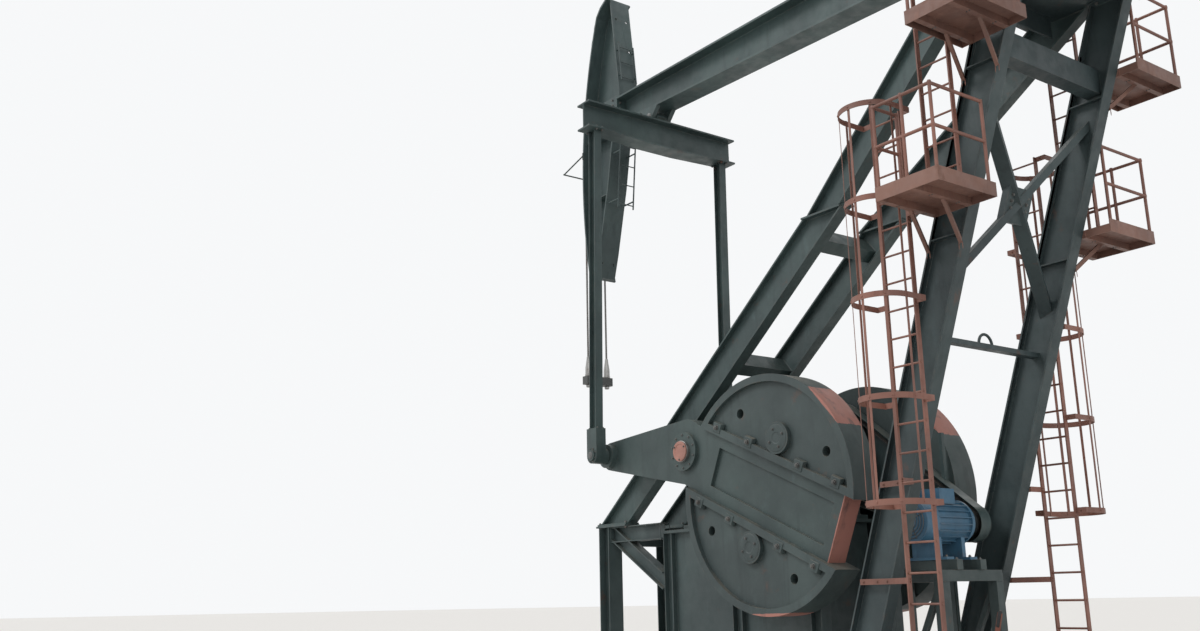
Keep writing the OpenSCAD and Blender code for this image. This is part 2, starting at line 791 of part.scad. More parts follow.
module handrail(x, z) {
    y1 = -deck_y1 - deck_w + 30;
    y2 = -cap_y - rail_d / 2 - 10;
    x1 = x + 30;
    x2 = x + deck_l - 30;
    for (p = [[x1, y1], [(x1 + x2) / 2, y1], [x2, y1], [x2, y2], [x1, y1 + 360]])
        translate([p.x, p.y, z]) cylinder(d = rail_d, h = rail_h, $fn = 12);
    for (h = [rail_h * 0.52, rail_h - rail_d / 2]) {
        translate([x1, y1, z + h]) rotate([0, 90, 0]) cylinder(d = rail_d, h = x2 - x1, $fn = 12);
        translate([x2, y2, z + h]) rotate([90, 0, 0]) cylinder(d = rail_d, h = y2 - y1, $fn = 12);
        translate([x1, y1 + 360, z + h]) rotate([90, 0, 0]) cylinder(d = rail_d, h = 360, $fn = 12);
    }
}

module left_handrails() color(RUST) {
    handrail(deck1_x, deck1_h);
    handrail(deck2_x, deck2_h);
}

module right_handrails() other_side() left_handrails();

// Cranks

module crankshaft() color(STEEL) {
    round_y(0, shaft_h, shaft_d, -crank_y - crank_t - 90, crank_y + crank_t + 90);
    both_sides() round_y(0, shaft_h, shaft_d + 140, -crank_y, -case_y - 170);
}

// Points where a line touches two circles, on the side given by s
function touch(c1, r1, c2, r2, s) = let (
    v = c2 - c1, a = atan2(v.y, v.x), b = s * acos((r1 - r2) / norm(v)))
    [c1 + r1 * [cos(a + b), sin(a + b)], c2 + r2 * [cos(a + b), sin(a + b)]];

tail_dir = [cos(weight_drop), -sin(weight_drop)];
tail_side = [sin(weight_drop), cos(weight_drop)];
shaft_at = [0, shaft_h];
weight_at = shaft_at + weight_reach * tail_dir;

// Part of the crank's tail, from u1 to u2 along it and v to each side
module tail_box(u1, u2, v) {
    polygon([for (p = [[u1, v], [u2, v], [u2, -v], [u1, -v]]) shaft_at + p.x * tail_dir + p.y * tail_side]);
}

module crank_outline() {
    up = touch(shaft_at, crank_hub, wrist, crank_tip, 1);
    down = touch(shaft_at, crank_hub, wrist, crank_tip, -1);
    translate(shaft_at) circle(crank_hub);
    translate(wrist) circle(crank_tip);
    polygon([up[0], up[1], down[1], down[0]]);
    tail_box(0, tail_end, tail_w / 2);
}

module crank_left() color(GREEN) {
    y1 = -crank_y - crank_t;
    difference() {
        union() {
            slab(y1, -crank_y) crank_outline();
            round_y(wrist.x, wrist.y, 2 * crank_tip - 60, -boss_y, y1);
            round_y(0, shaft_h, shaft_d + 220, y1 - 50, y1);
        }
        round_y(0, shaft_h, shaft_d, -far, 0);
        slab(y1 - 1, y1 + 40) tail_box(crank_hub + 200, tail_end - 130, 250);
    }
}

module crank_right() other_side() crank_left();

// One counterweight: half a disc with its flat side on the crank's edge
module half_disc(r, v, s) {
    intersection() {
        translate(weight_at) circle(r, $fn = 120);
        polygon([for (p = [[-far, v], [far, v], [far, far], [-far, far]])
            shaft_at + p.x * tail_dir + s * p.y * tail_side]);
    }
}

module weights_left() color(GREEN) {
    y2 = -crank_y + 40;
    y1 = y2 - weight_t;
    for (s = [-1, 1]) difference() {
        slab(y1, y2) half_disc(weight_r, tail_w / 2, s);
        slab(y1 - 1, y1 + 60) difference() {
            half_disc(weight_r - 90, tail_w / 2 + 90, s);
            translate(weight_at + s * 680 * tail_side) circle(190);
        }
        slab(y1 - 1, y2 + 1) for (u = [-760, 760])
            translate(weight_at + u * tail_dir + s * 760 * tail_side) circle(60);
    }
}

module weights_right() other_side() weights_left();

// Walking beam

beam_x2 = pivot_x + beam_tail;

function beam_high(x) = beam_low(x) + beam_depth_rear
    + (beam_depth_front - beam_depth_rear) * (pivot_x - x) / (pivot_x - beam_x1);

module beam_band(x1, x2, z_low, z_high) {
    polygon([[x1, beam_low(x1) + z_low], [x2, beam_low(x2) + z_low],
        [x2, beam_high(x2) - z_high], [x1, beam_high(x1) - z_high]]);
}

module walking_beam() color(GREEN) {
    w = beam_w / 2;
    slab(-beam_web / 2, beam_web / 2) beam_band(beam_x1, beam_x2, 0, 0);
    slab(-w, w) difference() {
        beam_band(beam_x1, beam_x2, 0, 0);
        beam_band(beam_x1 - 1, beam_x2 + 1, beam_flange, beam_flange);
    }
    for (x = [pivot_x - stiff_gap / 2, pivot_x + stiff_gap / 2])
        slab(-w + 20, w - 20) beam_band(x - 9, x + 9, beam_flange, beam_flange);
    slab(-w, w) beam_band(beam_x1, beam_x1 + 30, 0, 0);
    // saddle over the bearing shaft and clamps over the yoke pin
    difference() {
        slab(-w, w) polygon([[pivot_x - 300, beam_low(pivot_x - 300)], [pivot_x + 300, beam_low(pivot_x + 300)],
            [pivot_x + 150, pivot_h - 130], [pivot_x - 150, pivot_h - 130]]);
        round_y(pivot_x, pivot_h, pin_d, -far, far);
    }
    both_sides() difference() {
        slab(-w, -w + clamp_t) {
            polygon([[yoke_x - 200, beam_low(yoke_x - 200)], [yoke_x + 200, beam_low(yoke_x + 200)],
                [yoke_x + clamp_r - 4, yoke_h - 20], [yoke_x - clamp_r + 4, yoke_h - 20]]);
            translate([yoke_x, yoke_h]) circle(clamp_r);
        }
        round_y(yoke_x, yoke_h, yoke_pin_d, -far, far);
    }
}

module beam_shaft() color(STEEL) {
    round_y(pivot_x, pivot_h, pin_d, -bearing_y2 - 40, bearing_y2 + 40);
    round_y(yoke_x, yoke_h, yoke_pin_d, -beam_w / 2 - 10, beam_w / 2 + 10);
}

// Head: curved face plate, web and rear flange, with a box where the beam is bolted on

guard_reach = 560;

function face_at(a, r) = [pivot_x - r * cos(a), pivot_h + r * sin(a)];
head_mid_z = beam_high(beam_x1);
head_box = [beam_low(beam_x1) - 60, head_mid_z + 34];     // lowest and highest level of the box
head_foot = 100;         // length of the head's foot on the beam's top
head_bend = face_at(head_high, head_r) + [111, 129];       // the face bends back here and ends at its nose
head_nose = face_at(head_high, head_r) + [300, 236];
head_holes = [[beam_x1 - 80, pivot_h + 2680], [beam_x1 + 10, pivot_h + 2110], [beam_x1 - 560, pivot_h - 1450]];

// Outline from the side, with its rear edge moved forward by inset
module head_outline(inset) {
    foot_x = beam_x1 + head_foot;
    back = [face_at(-head_low, head_r - head_tip), [beam_x1 - 520, pivot_h - 1280], [beam_x1 - 260, pivot_h - 230],
        [beam_x1 - 90, head_box[0]], [beam_x1, head_box[0]], [beam_x1, head_mid_z], [foot_x, head_mid_z],
        [foot_x, head_box[1] + 120], head_nose + [35, -45]];
    intersection() {
        translate([pivot_x, pivot_h]) circle(head_r, $fn = 360);
        polygon(concat([face_at(-head_low, head_r + 50)], [for (p = back) p - [inset, 0]], [head_nose - [inset, 0],
            head_bend, face_at(head_high, head_r), face_at(head_high, head_r + 50), face_at(0, head_r + 1100)]));
    }
}

// Cross plate of the head between two levels
module head_plate(z1, z2, w) {
    slab(-w / 2, w / 2) intersection() {
        head_outline(0);
        translate([-far, z1]) square([2 * far, z2 - z1]);
    }
}

// Short ladder behind the rear flange, between the levels z1 and z2 at x1 and x2
module head_ladder(x1, z1, x2, z2, rungs, gap) {
    d = 24;
    y = 150;
    run = [x2 - x1, 0, z2 - z1];
    both_sides() {
        run_between([x1, -y, z1], [x2, -y, z2], 60) circle(d = d, $fn = 16);
        for (t = [0.08, 0.92]) translate([x1 - gap, -y, z1] + run * t) rotate([0, 90, 0])
            cylinder(d = d, h = gap, $fn = 16);
    }
    for (i = [0 : rungs - 1]) translate([x1, -y, z1] + run * i / (rungs - 1)) rotate([-90, 0, 0])
        cylinder(d = 18, h = 2 * y, $fn = 16);
}

module horsehead() color(GREEN) {
    difference() {
        union() {
            slab(-head_w / 2, head_w / 2) difference() {
                head_outline(0);
                translate([pivot_x, pivot_h]) circle(head_r - face_t, $fn = 360);
            }
            slab(-head_w / 2, head_w / 2) polygon([face_at(head_high, head_r - 1), head_bend, head_nose,
                head_nose + face_t * [0.4, -1], head_bend + face_t * [0.8, -1],
                face_at(head_high, head_r - face_t - 4)]);
            slab(-head_web / 2, head_web / 2) head_outline(0);
            slab(-head_back_w / 2, head_back_w / 2) difference() {
                head_outline(0);
                head_outline(head_web + 2);
                translate([-far, head_box[0]]) square([2 * far, head_mid_z - head_box[0]]);
            }
            for (z = [head_box[0], head_mid_z]) head_plate(z, z + 34, head_back_w);
            for (z = [pivot_h - 1100, pivot_h - 350]) head_plate(z, z + 14, head_back_w - 40);
            both_sides() slab(-head_back_w / 2, -head_back_w / 2 + 16) intersection() {
                head_outline(0);
                translate([-far, head_box[0]]) square([2 * far, head_mid_z - head_box[0]]);
            }
        }
        // round holes for lifting, through the rear flange
        for (h = head_holes, y = [-110, 110]) translate([h.x - 60, y, h.y]) rotate([0, 90, 0])
            cylinder(d = 46, h = 120);
    }
    head_ladder(beam_x1 - 45, pivot_h - 580, beam_x1 + 50, pivot_h + 380, 4, 250);
    head_ladder(beam_x1 + 120, pivot_h + 1560, beam_x1 + 65, pivot_h + 2120, 3, 120);
}

// Ropes lying on the head, from the anchor at its top to where they leave it
module head_ropes() color(STEEL) {
    for (s = [-1, 1]) translate([pivot_x, s * rope_gap / 2, pivot_h]) rotate([90, 0, 0])
        rotate([0, 0, 180 - head_high + 0.6]) rotate_extrude(angle = head_high - 0.65, $fn = 180)
            translate([head_r + rope_r + seat, 0]) circle(r = rope_r, $fn = 16);
}

// Rod frame in front of the head that keeps the ropes on its face, on a pad at each edge of the face
module rope_guard() color(DARK) {
    p = face_at(3.05, head_r - face_t / 2);
    y = head_w / 2 + 12 + seat;
    d = 24;
    tip = [p.x - guard_reach, -y, p.y - guard_reach * 0.27];
    both_sides() {
        box(p.x - 13, p.x + 13, -y, -y + 12, p.y - 60, p.y + 60);
        run_between([p.x, -y, p.y], tip) circle(d = d, $fn = 16);
    }
    round_y(tip.x, tip.z, d, tip.y - d / 2, -tip.y + d / 2);
}

// Yoke and pitmans

yoke_top = yoke_h - clamp_r - 8;
yoke_low = yoke_top - yoke_end;
yoke_flange = 26;
yoke_seat = pitman_y - 90;
yoke_flat = 330;

// Outline in Y and Z, drawn in by t
module yoke_outline(t) {
    polygon([[-yoke_half + t, yoke_top - t], [yoke_half - t, yoke_top - t], [yoke_half - t, yoke_low + t],
        [yoke_seat, yoke_low + t], [yoke_flat, yoke_top - yoke_mid + t], [-yoke_flat, yoke_top - yoke_mid + t],
        [-yoke_seat, yoke_low + t], [-yoke_half + t, yoke_low + t]]);
}

// Something drawn in Y and Z, as wide as w about the yoke's middle
module across_yoke(w) {
    translate([yoke_x - w / 2, 0, 0]) rotate([90, 0, 90]) linear_extrude(w) children();
}

module yoke() color(GREEN) {
    y1 = beam_w / 2 - clamp_t - 10;
    difference() {
        union() {
            across_yoke(yoke_w) difference() {
                yoke_outline(0);
                yoke_outline(yoke_flange);
                for (s = [-1, 1]) translate([s * yoke_half, yoke_top - yoke_end / 2])
                    square([120, yoke_end - 2 * yoke_flange], center = true);
            }
            across_yoke(20) yoke_outline(1);
            slab(-y1, y1) polygon([[yoke_x - 150, yoke_top], [yoke_x + 150, yoke_top],
                [yoke_x + 70, yoke_h], [yoke_x - 70, yoke_h]]);
            round_y(yoke_x, yoke_h, yoke_pin_d + 60, -y1, y1);
        }
        round_y(yoke_x, yoke_h, yoke_pin_d + 2 * run, -far, far);
    }
}

bearing_d = 230;
bearing_top = 380;       // from the pin to the top of the housing
pitman_low = [wrist.x, -pitman_y, wrist.y + bearing_top];
pitman_high = [yoke_x, -pitman_y, yoke_low];

module pitman_left() color(GREEN) {
    between_levels(pitman_low.z, pitman_high.z) run_between(pitman_low, pitman_high, 300)
        i_section(pitman_d, pitman_w, 10, 14);
}

module pitman_right() other_side() pitman_left();

// Wrist bearing: housing on the pitman's foot, with the outer half of the pin
module wrist_bearings() color(DARK) {
    both_sides() {
        y1 = -pitman_y - pitman_w / 2 - 20;
        y2 = -pitman_y + bearing_w / 2;
        round_y(wrist.x, wrist.y, bearing_d, y1, y2);
        box(wrist.x - bearing_d / 2, wrist.x + bearing_d / 2, y1, -pitman_y + pitman_w / 2 + 15,
            wrist.y, pitman_low.z);
        round_y(wrist.x, wrist.y, bearing_d - 70, y1 - 25, y1);
    }
}

// Bridle and carrier bar

socket_l = 320;
bar_h = 130;
bar_w = 130;
socket_d = 110;

module bridle() color(STEEL) {
    for (s = [-1, 1]) translate([rope_x, s * rope_gap / 2, 0]) {
        translate([0, 0, carrier_h + socket_l - 5])
            cylinder(d = rope_d, h = pivot_h - carrier_h - socket_l, $fn = 16);
        translate([0, 0, carrier_h + seat]) cylinder(d1 = socket_d, d2 = rope_d + 14, h = socket_l - seat);
        translate([0, 0, carrier_h - bar_h - 50]) cylinder(d = 40, h = bar_h + 100);
        translate([0, 0, carrier_h - bar_h - seat - 45]) cylinder(d = 76, h = 45, $fn = 6);
    }
}

module carrier_bar() color(DARK) {
    difference() {
        translate([rope_x, 0, carrier_h - bar_h]) linear_extrude(bar_h) difference() {
            square([bar_w, rope_gap + 140], center = true);
            for (s = [-1, 1]) translate([0, s * rope_gap / 2]) circle(d = 42);
        }
        translate([rope_x, 0, 0]) cylinder(d = carrier_bore, h = far);
    }
}

base_rails();
base_cross_beams();
front_columns();
stand_braces();
reducer_stand();
reducer_case();
reducer_cover();
reducer_sheave();
brake_drum();
brake_lever();
drive_belts();
belt_guard();
motor();
motor_rails();
motor_sheave();
rear_leg_left();
rear_leg_right();
front_leg_left();
front_leg_right();
front_ties();
rear_ties();
rear_cross_brace();
post_cap();
saddle_bearings();
left_ladders();
right_ladders();
left_cage();
right_cage();
left_decks();
right_decks();
left_handrails();
right_handrails();
crankshaft();
crank_left();
crank_right();
weights_left();
weights_right();
walking_beam();
beam_shaft();
horsehead();
head_ropes();
rope_guard();
yoke();
pitman_left();
pitman_right();
wrist_bearings();
bridle();
carrier_bar();
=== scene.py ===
from math import asin, copysign, cos, pi, radians, sin, sqrt, tau

import bmesh
import bpy
from mathutils import Matrix, Vector, noise


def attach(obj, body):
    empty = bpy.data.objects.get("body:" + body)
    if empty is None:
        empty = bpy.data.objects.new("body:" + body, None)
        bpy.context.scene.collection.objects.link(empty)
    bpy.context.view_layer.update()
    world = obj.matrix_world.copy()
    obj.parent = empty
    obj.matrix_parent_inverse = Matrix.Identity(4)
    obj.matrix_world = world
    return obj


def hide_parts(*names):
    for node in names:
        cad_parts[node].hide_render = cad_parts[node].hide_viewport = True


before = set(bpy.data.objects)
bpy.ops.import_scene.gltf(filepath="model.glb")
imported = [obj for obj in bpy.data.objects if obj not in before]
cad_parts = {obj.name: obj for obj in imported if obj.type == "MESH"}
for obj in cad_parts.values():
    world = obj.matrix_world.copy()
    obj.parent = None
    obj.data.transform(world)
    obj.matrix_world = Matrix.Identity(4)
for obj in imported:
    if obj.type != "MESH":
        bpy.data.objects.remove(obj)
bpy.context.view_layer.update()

# Camera and floor.
# The unit stands on a pale, level floor. The camera is low behind the near side, and looks up along the unit
# to its head, as the photograph does.
camera_at = Vector((11.47, -10.61, 1.6))
heading = radians(54.164)
pitch = radians(13.922)
roll = radians(1.054)

ahead = Vector((-sin(heading), cos(heading), 0))
level = Vector((cos(heading), sin(heading), 0))
look = ahead * cos(pitch) + Vector((0, 0, sin(pitch)))
up = Vector((0, 0, cos(pitch))) - ahead * sin(pitch)
across = level * cos(roll) - up * sin(roll)
upright = level * sin(roll) + up * cos(roll)
turn = Matrix((across, upright, -look)).transposed()

lens = bpy.data.cameras.new("camera")
lens.sensor_width = 36
lens.lens = 34.37
lens.clip_end = 600
camera = bpy.data.objects.new("camera", lens)
camera.matrix_world = Matrix.Translation(camera_at) @ turn.to_4x4()
bpy.context.scene.collection.objects.link(camera)
bpy.context.scene.camera = camera
bpy.context.scene.view_settings.view_transform = "Standard"

world = bpy.data.worlds.new("studio")
bpy.context.scene.world = world
world.use_nodes = True
sky = world.node_tree
sky.nodes.clear()
seen = sky.nodes.new("ShaderNodeLightPath")
any_view = sky.nodes.new("ShaderNodeMath")
any_view.operation = "MAXIMUM"
through = sky.nodes.new("ShaderNodeMath")
through.operation = "MAXIMUM"
room = sky.nodes.new("ShaderNodeBackground")
room.inputs["Color"].default_value = (1.0, 0.985, 0.97, 1)
room.inputs["Strength"].default_value = 0.62
backdrop = sky.nodes.new("ShaderNodeBackground")
backdrop.inputs["Color"].default_value = (0.93, 0.94, 0.95, 1)
backdrop.inputs["Strength"].default_value = 1.0
choose = sky.nodes.new("ShaderNodeMixShader")
world_out = sky.nodes.new("ShaderNodeOutputWorld")
sky.links.new(seen.outputs["Is Camera Ray"], any_view.inputs[0])
sky.links.new(seen.outputs["Is Glossy Ray"], any_view.inputs[1])
sky.links.new(any_view.outputs[0], through.inputs[0])
sky.links.new(seen.outputs["Is Transmission Ray"], through.inputs[1])
sky.links.new(through.outputs[0], choose.inputs["Fac"])
sky.links.new(room.outputs[0], choose.inputs[1])
sky.links.new(backdrop.outputs[0], choose.inputs[2])
sky.links.new(choose.outputs[0], world_out.inputs["Surface"])

for name, strength, spread, direction in (("key", 1.35, 24, (0.35, 0.62, -0.7)),
                                          ("fill", 0.5, 40, (-0.8, 0.35, -0.35))):
    lamp = bpy.data.lights.new(name, "SUN")
    lamp.energy = strength
    lamp.angle = radians(spread)
    sun = bpy.data.objects.new(name, lamp)
    sun.rotation_euler = Vector(direction).to_track_quat("-Z", "Y").to_euler()
    bpy.context.scene.collection.objects.link(sun)

floor_mesh = bpy.data.meshes.new("floor")
floor_r = 260
floor_mesh.from_pydata([(floor_r * cos(i * pi / 32), floor_r * sin(i * pi / 32), 0) for i in range(64)],
                       [], [list(range(64))])
floor = bpy.data.objects.new("floor", floor_mesh)
bpy.context.scene.collection.objects.link(floor)
floor_paint = bpy.data.materials.new("pale_floor")
floor_paint.use_nodes = True
floor_shader = floor_paint.node_tree.nodes["Principled BSDF"]
floor_shader.inputs["Base Color"].default_value = (0.8, 0.79, 0.77, 1)
floor_shader.inputs["Roughness"].default_value = 0.9
floor_mesh.materials.append(floor_paint)


# Base: two long rolled steel beams with cross beams welded between them, and outriggers under the rear legs.
# All of it is painted dark, stained by soil low down, and held by four anchor bolts with heavy nuts.
def weathered(name, colour, rough=0.5, metallic=0.0, worn=0.35, rust=0.25, dust=0.3, soil=0.0, grain=40, patches=()):
    """Paint on steel: tone varies in clouds, rain streaks run down, rust and bare edges show, dust lies on top."""
    material = bpy.data.materials.new(name)
    material.use_nodes = True
    tree = material.node_tree
    tree.nodes.clear()

    def node(kind, **inputs):
        made = tree.nodes.new("ShaderNode" + kind)
        for socket, value in inputs.items():
            made.inputs[socket.replace("_", " ")].default_value = value
        return made

    def link(source, socket, target):
        tree.links.new(source.outputs[socket], target)

    def noise_at(scale, detail, stretch=(1, 1, 1), shift=(0, 0, 0)):
        mapping = node("Mapping")
        mapping.inputs["Scale"].default_value = stretch
        mapping.inputs["Location"].default_value = shift
        link(place, "Object", mapping.inputs["Vector"])
        cloud = node("TexNoise", Scale=scale, Detail=detail, Roughness=0.6)
        link(mapping, "Vector", cloud.inputs["Vector"])
        return cloud

    def ramp(source, low, high, top=1.0, bottom=0.0):
        span = node("MapRange")
        span.interpolation_type = "SMOOTHSTEP"
        for socket, value in (("From Min", low), ("From Max", high), ("To Min", bottom), ("To Max", top)):
            span.inputs[socket].default_value = value
        tree.links.new(source, span.inputs["Value"])
        return span.outputs["Result"]

    def times(a, b):
        product = node("Math")
        product.operation = "MULTIPLY"
        tree.links.new(a, product.inputs[0])
        if isinstance(b, float):
            product.inputs[1].default_value = b
        else:
            tree.links.new(b, product.inputs[1])
        return product.outputs[0]

    def over(base, tone, amount):
        mix = node("MixRGB", Color2=tone + (1,))
        if isinstance(base, tuple):
            mix.inputs["Color1"].default_value = base + (1,)
        else:
            tree.links.new(base, mix.inputs["Color1"])
        tree.links.new(amount, mix.inputs["Fac"])
        return mix.outputs["Color"]

    def shade(k, cast=(1, 1, 1)):
        return tuple(min(1.0, c * k * t) for c, t in zip(colour, cast))

    place = node("TexCoord")
    surface = node("NewGeometry")
    parts = node("SeparateXYZ")
    link(surface, "Normal", parts.inputs[0])
    where = node("SeparateXYZ")
    link(place, "Object", where.inputs[0])

    clouds = noise_at(0.9, 5)
    tone = over(shade(0.78), shade(1.22, (1, 0.98, 0.95)), ramp(clouds.outputs["Fac"], 0.36, 0.66))
    for low, high, axis, paint in patches:
        tone = over(tone, paint, patch_mask(tree, place, low, high, axis))
    streaks = noise_at(5.0, 4, (1.6, 1.6, 0.16), (3, 1, 7))
    tone = over(tone, shade(0.62, (1, 1, 1.02)), times(ramp(streaks.outputs["Fac"], 0.52, 0.72), 0.55))
    chalk = noise_at(7.0, 6, (1, 1, 0.4), (9, 4, 2))
    tone = over(tone, shade(1.7, (0.98, 1, 1)), times(ramp(chalk.outputs["Fac"], 0.56, 0.76), 0.35))
    spots = noise_at(3.2, 8, (1, 1, 1), (1, 8, 5))
    tone = over(tone, (0.115, 0.042, 0.02), times(ramp(spots.outputs["Fac"], 0.66 - 0.08 * rust, 0.72), rust))
    edges = node("Bevel")
    edges.samples = 4
    edges.inputs["Radius"].default_value = 0.014
    angle = node("VectorMath")
    angle.operation = "DOT_PRODUCT"
    link(edges, "Normal", angle.inputs[0])
    link(surface, "Normal", angle.inputs[1])
    rubbed = times(ramp(angle.outputs["Value"], 0.985, 0.86),
                   ramp(noise_at(11.0, 5, shift=(4, 4, 4)).outputs["Fac"], 0.46, 0.64))
    tone = over(tone, (0.19, 0.135, 0.1), times(rubbed, worn))
    lying = times(ramp(parts.outputs["Z"], 0.45, 0.95),
                  ramp(noise_at(2.4, 4, shift=(2, 6, 1)).outputs["Fac"], 0.3, 0.7))
    tone = over(tone, (0.25, 0.215, 0.165), times(lying, dust))
    if soil:
        splashed = times(ramp(where.outputs["Z"], soil, 0.0),
                         ramp(noise_at(4.0, 6, shift=(8, 2, 2)).outputs["Fac"], 0.3, 0.62))
        tone = over(tone, (0.21, 0.165, 0.115), times(splashed, 0.75))

    fine = noise_at(grain, 3)
    broad = noise_at(grain / 7, 3, shift=(5, 5, 5))
    height = node("Math")
    height.operation = "ADD"
    tree.links.new(fine.outputs["Fac"], height.inputs[0])
    tree.links.new(broad.outputs["Fac"], height.inputs[1])
    bump = node("Bump", Strength=0.22, Distance=0.004)
    tree.links.new(height.outputs[0], bump.inputs["Height"])
    shader = node("BsdfPrincipled", Metallic=metallic)
    tree.links.new(tone, shader.inputs["Base Color"])
    tree.links.new(ramp(broad.outputs["Fac"], 0.3, 0.7, rough + 0.12, rough - 0.1), shader.inputs["Roughness"])
    link(bump, "Normal", shader.inputs["Normal"])
    out = node("OutputMaterial")
    link(shader, "BSDF", out.inputs["Surface"])
    return material


def patch_mask(tree, place, low, high, axis):
    """1 where the object's coordinate along axis lies between low and high, with a slightly ragged edge."""
    along = tree.nodes.new("ShaderNodeVectorMath")
    along.operation = "DOT_PRODUCT"
    tree.links.new(place.outputs["Object"], along.inputs[0])
    along.inputs[1].default_value = axis
    ragged = tree.nodes.new("ShaderNodeTexNoise")
    ragged.inputs["Scale"].default_value = 16
    tree.links.new(place.outputs["Object"], ragged.inputs["Vector"])
    shifted = tree.nodes.new("ShaderNodeMath")
    shifted.operation = "MULTIPLY_ADD"
    tree.links.new(ragged.outputs["Fac"], shifted.inputs[0])
    shifted.inputs[1].default_value = 0.012
    tree.links.new(along.outputs["Value"], shifted.inputs[2])
    above = tree.nodes.new("ShaderNodeMath")
    above.operation = "GREATER_THAN"
    tree.links.new(shifted.outputs[0], above.inputs[0])
    above.inputs[1].default_value = low
    below = tree.nodes.new("ShaderNodeMath")
    below.operation = "LESS_THAN"
    tree.links.new(shifted.outputs[0], below.inputs[0])
    below.inputs[1].default_value = high
    both = tree.nodes.new("ShaderNodeMath")
    both.operation = "MULTIPLY"
    tree.links.new(above.outputs[0], both.inputs[0])
    tree.links.new(below.outputs[0], both.inputs[1])
    return both.outputs[0]


def dress(material, edge, *nodes, merged=True):
    """Gives CAD nodes their finish, and breaks their sharp edges by a narrow round of the given width. Flat faces
    are merged first, but for the nodes whose long faces wrap round others."""
    for name in nodes:
        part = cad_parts[name]
        part.data.materials.clear()
        part.data.materials.append(material)
        if not edge:
            continue
        part.data.attributes.remove(part.data.attributes["custom_normal"])
        part.data.polygons.foreach_set("use_smooth", [True] * len(part.data.polygons))
        joined = part.modifiers.new("joined", "WELD")
        joined.merge_threshold = 0.00002
        if merged:
            flat = part.modifiers.new("flat", "DECIMATE")
            flat.decimate_type = "DISSOLVE"
            flat.angle_limit = radians(0.3)
        broken = part.modifiers.new("broken", "BEVEL")
        broken.width = edge
        broken.segments = 2
        broken.limit_method = "ANGLE"
        broken.angle_limit = radians(35)
        broken.harden_normals = True
        broken.use_clamp_overlap = True


def lathe(bm, place, profile, sides):
    """Turned shape: rings of the profile's (radius, height) points, closed at both ends."""
    rings = []
    for r, z in profile:
        rings.append([bm.verts.new(place @ Vector((r * cos(k * tau / sides), r * sin(k * tau / sides), z)))
                      for k in range(sides)])
    for one, two in zip(rings, rings[1:]):
        for k in range(sides):
            bm.faces.new((one[k], one[(k + 1) % sides], two[(k + 1) % sides], two[k]))
    bm.faces.new(rings[0][::-1])
    bm.faces.new(rings[-1])


def facing(at, along):
    return Matrix.Translation(at) @ Vector(along).to_track_quat("Z", "Y").to_matrix().to_4x4()


def bolt(bm, at, along, d):
    """Hexagon nut on a washer, with the end of its stud; d is the thread's diameter."""
    place = facing(at, along)
    lathe(bm, place, ((1.08 * d, -0.002), (1.08 * d, 0.13 * d), (1.02 * d, 0.17 * d)), 16)
    lathe(bm, place, ((0.93 * d, 0.1 * d), (0.96 * d, 0.25 * d), (0.96 * d, 0.85 * d), (0.82 * d, 0.97 * d)), 6)
    lathe(bm, place, ((0.5 * d, 0.8 * d), (0.5 * d, 1.25 * d), (0.42 * d, 1.33 * d)), 10)


def weld(bm, p, q, r):
    """Rippled bead from p to q, half sunk in the plates that it joins."""
    p, q = Vector(p), Vector(q)
    run = q - p
    turned = run.to_track_quat("Z", "Y").to_matrix()
    steps = max(3, int(run.length / 0.022))
    rings = []
    for i in range(steps + 1):
        along = p + run * (i / steps)
        swell = r * (0.92 + 0.16 * (i % 2) + 0.22 * noise.noise(along * 9))
        if i in (0, steps):
            swell *= 0.5
        rings.append([bm.verts.new(along + turned @ Vector((swell * cos(a), swell * sin(a), 0)))
                      for a in (k * tau / 6 for k in range(6))])
    for one, two in zip(rings, rings[1:]):
        for k in range(6):
            bm.faces.new((one[k], one[(k + 1) % 6], two[(k + 1) % 6], two[k]))
    bm.faces.new(rings[0][::-1])
    bm.faces.new(rings[-1])


def piece(name, bm, material, body, sharp=34):
    """One object from the mesh, smooth but for its sharp edges, that rides on a body."""
    bmesh.ops.recalc_face_normals(bm, faces=bm.faces)
    mesh = bpy.data.meshes.new(name)
    bm.to_mesh(mesh)
    bm.free()
    mesh.materials.append(material)
    mesh.polygons.foreach_set("use_smooth", [True] * len(mesh.polygons))
    mesh.set_sharp_from_angle(angle=radians(sharp))
    made = bpy.data.objects.new(name, mesh)
    bpy.context.scene.collection.objects.link(made)
    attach(made, body)
    return made


teal = (0.042, 0.068, 0.069)
base_paint = weathered("base_paint", (0.04, 0.058, 0.06), rough=0.55, soil=0.5, rust=0.5, dust=0.45)
dress(base_paint, 0.004, "base_rails", "base_cross_beams")

base_top = 0.42
rail_y = 0.52
rail_w = 0.26
cross_x = (-2.33, -0.7, 1.3, 2.59, 3.55, 4.45)
beads = bmesh.new()
for x in cross_x:
    for side in (-1, 1):
        for edge_x in (x - 0.11, x + 0.11):
            weld(beads, (edge_x, side * (rail_y - rail_w / 2 - 0.1), base_top),
                 (edge_x, side * (rail_y - rail_w / 2), base_top), 0.006)
        weld(beads, (x - 0.11, side * (rail_y - rail_w / 2), base_top),
             (x + 0.11, side * (rail_y - rail_w / 2), base_top), 0.007)
for side in (-1, 1):
    weld(beads, (2.48, side * 0.65, base_top), (2.7, side * 0.65, base_top), 0.007)
    weld(beads, (2.4, side * 1.16, base_top), (2.78, side * 1.16, base_top), 0.006)
piece("base_welds", beads, base_paint, "frame")

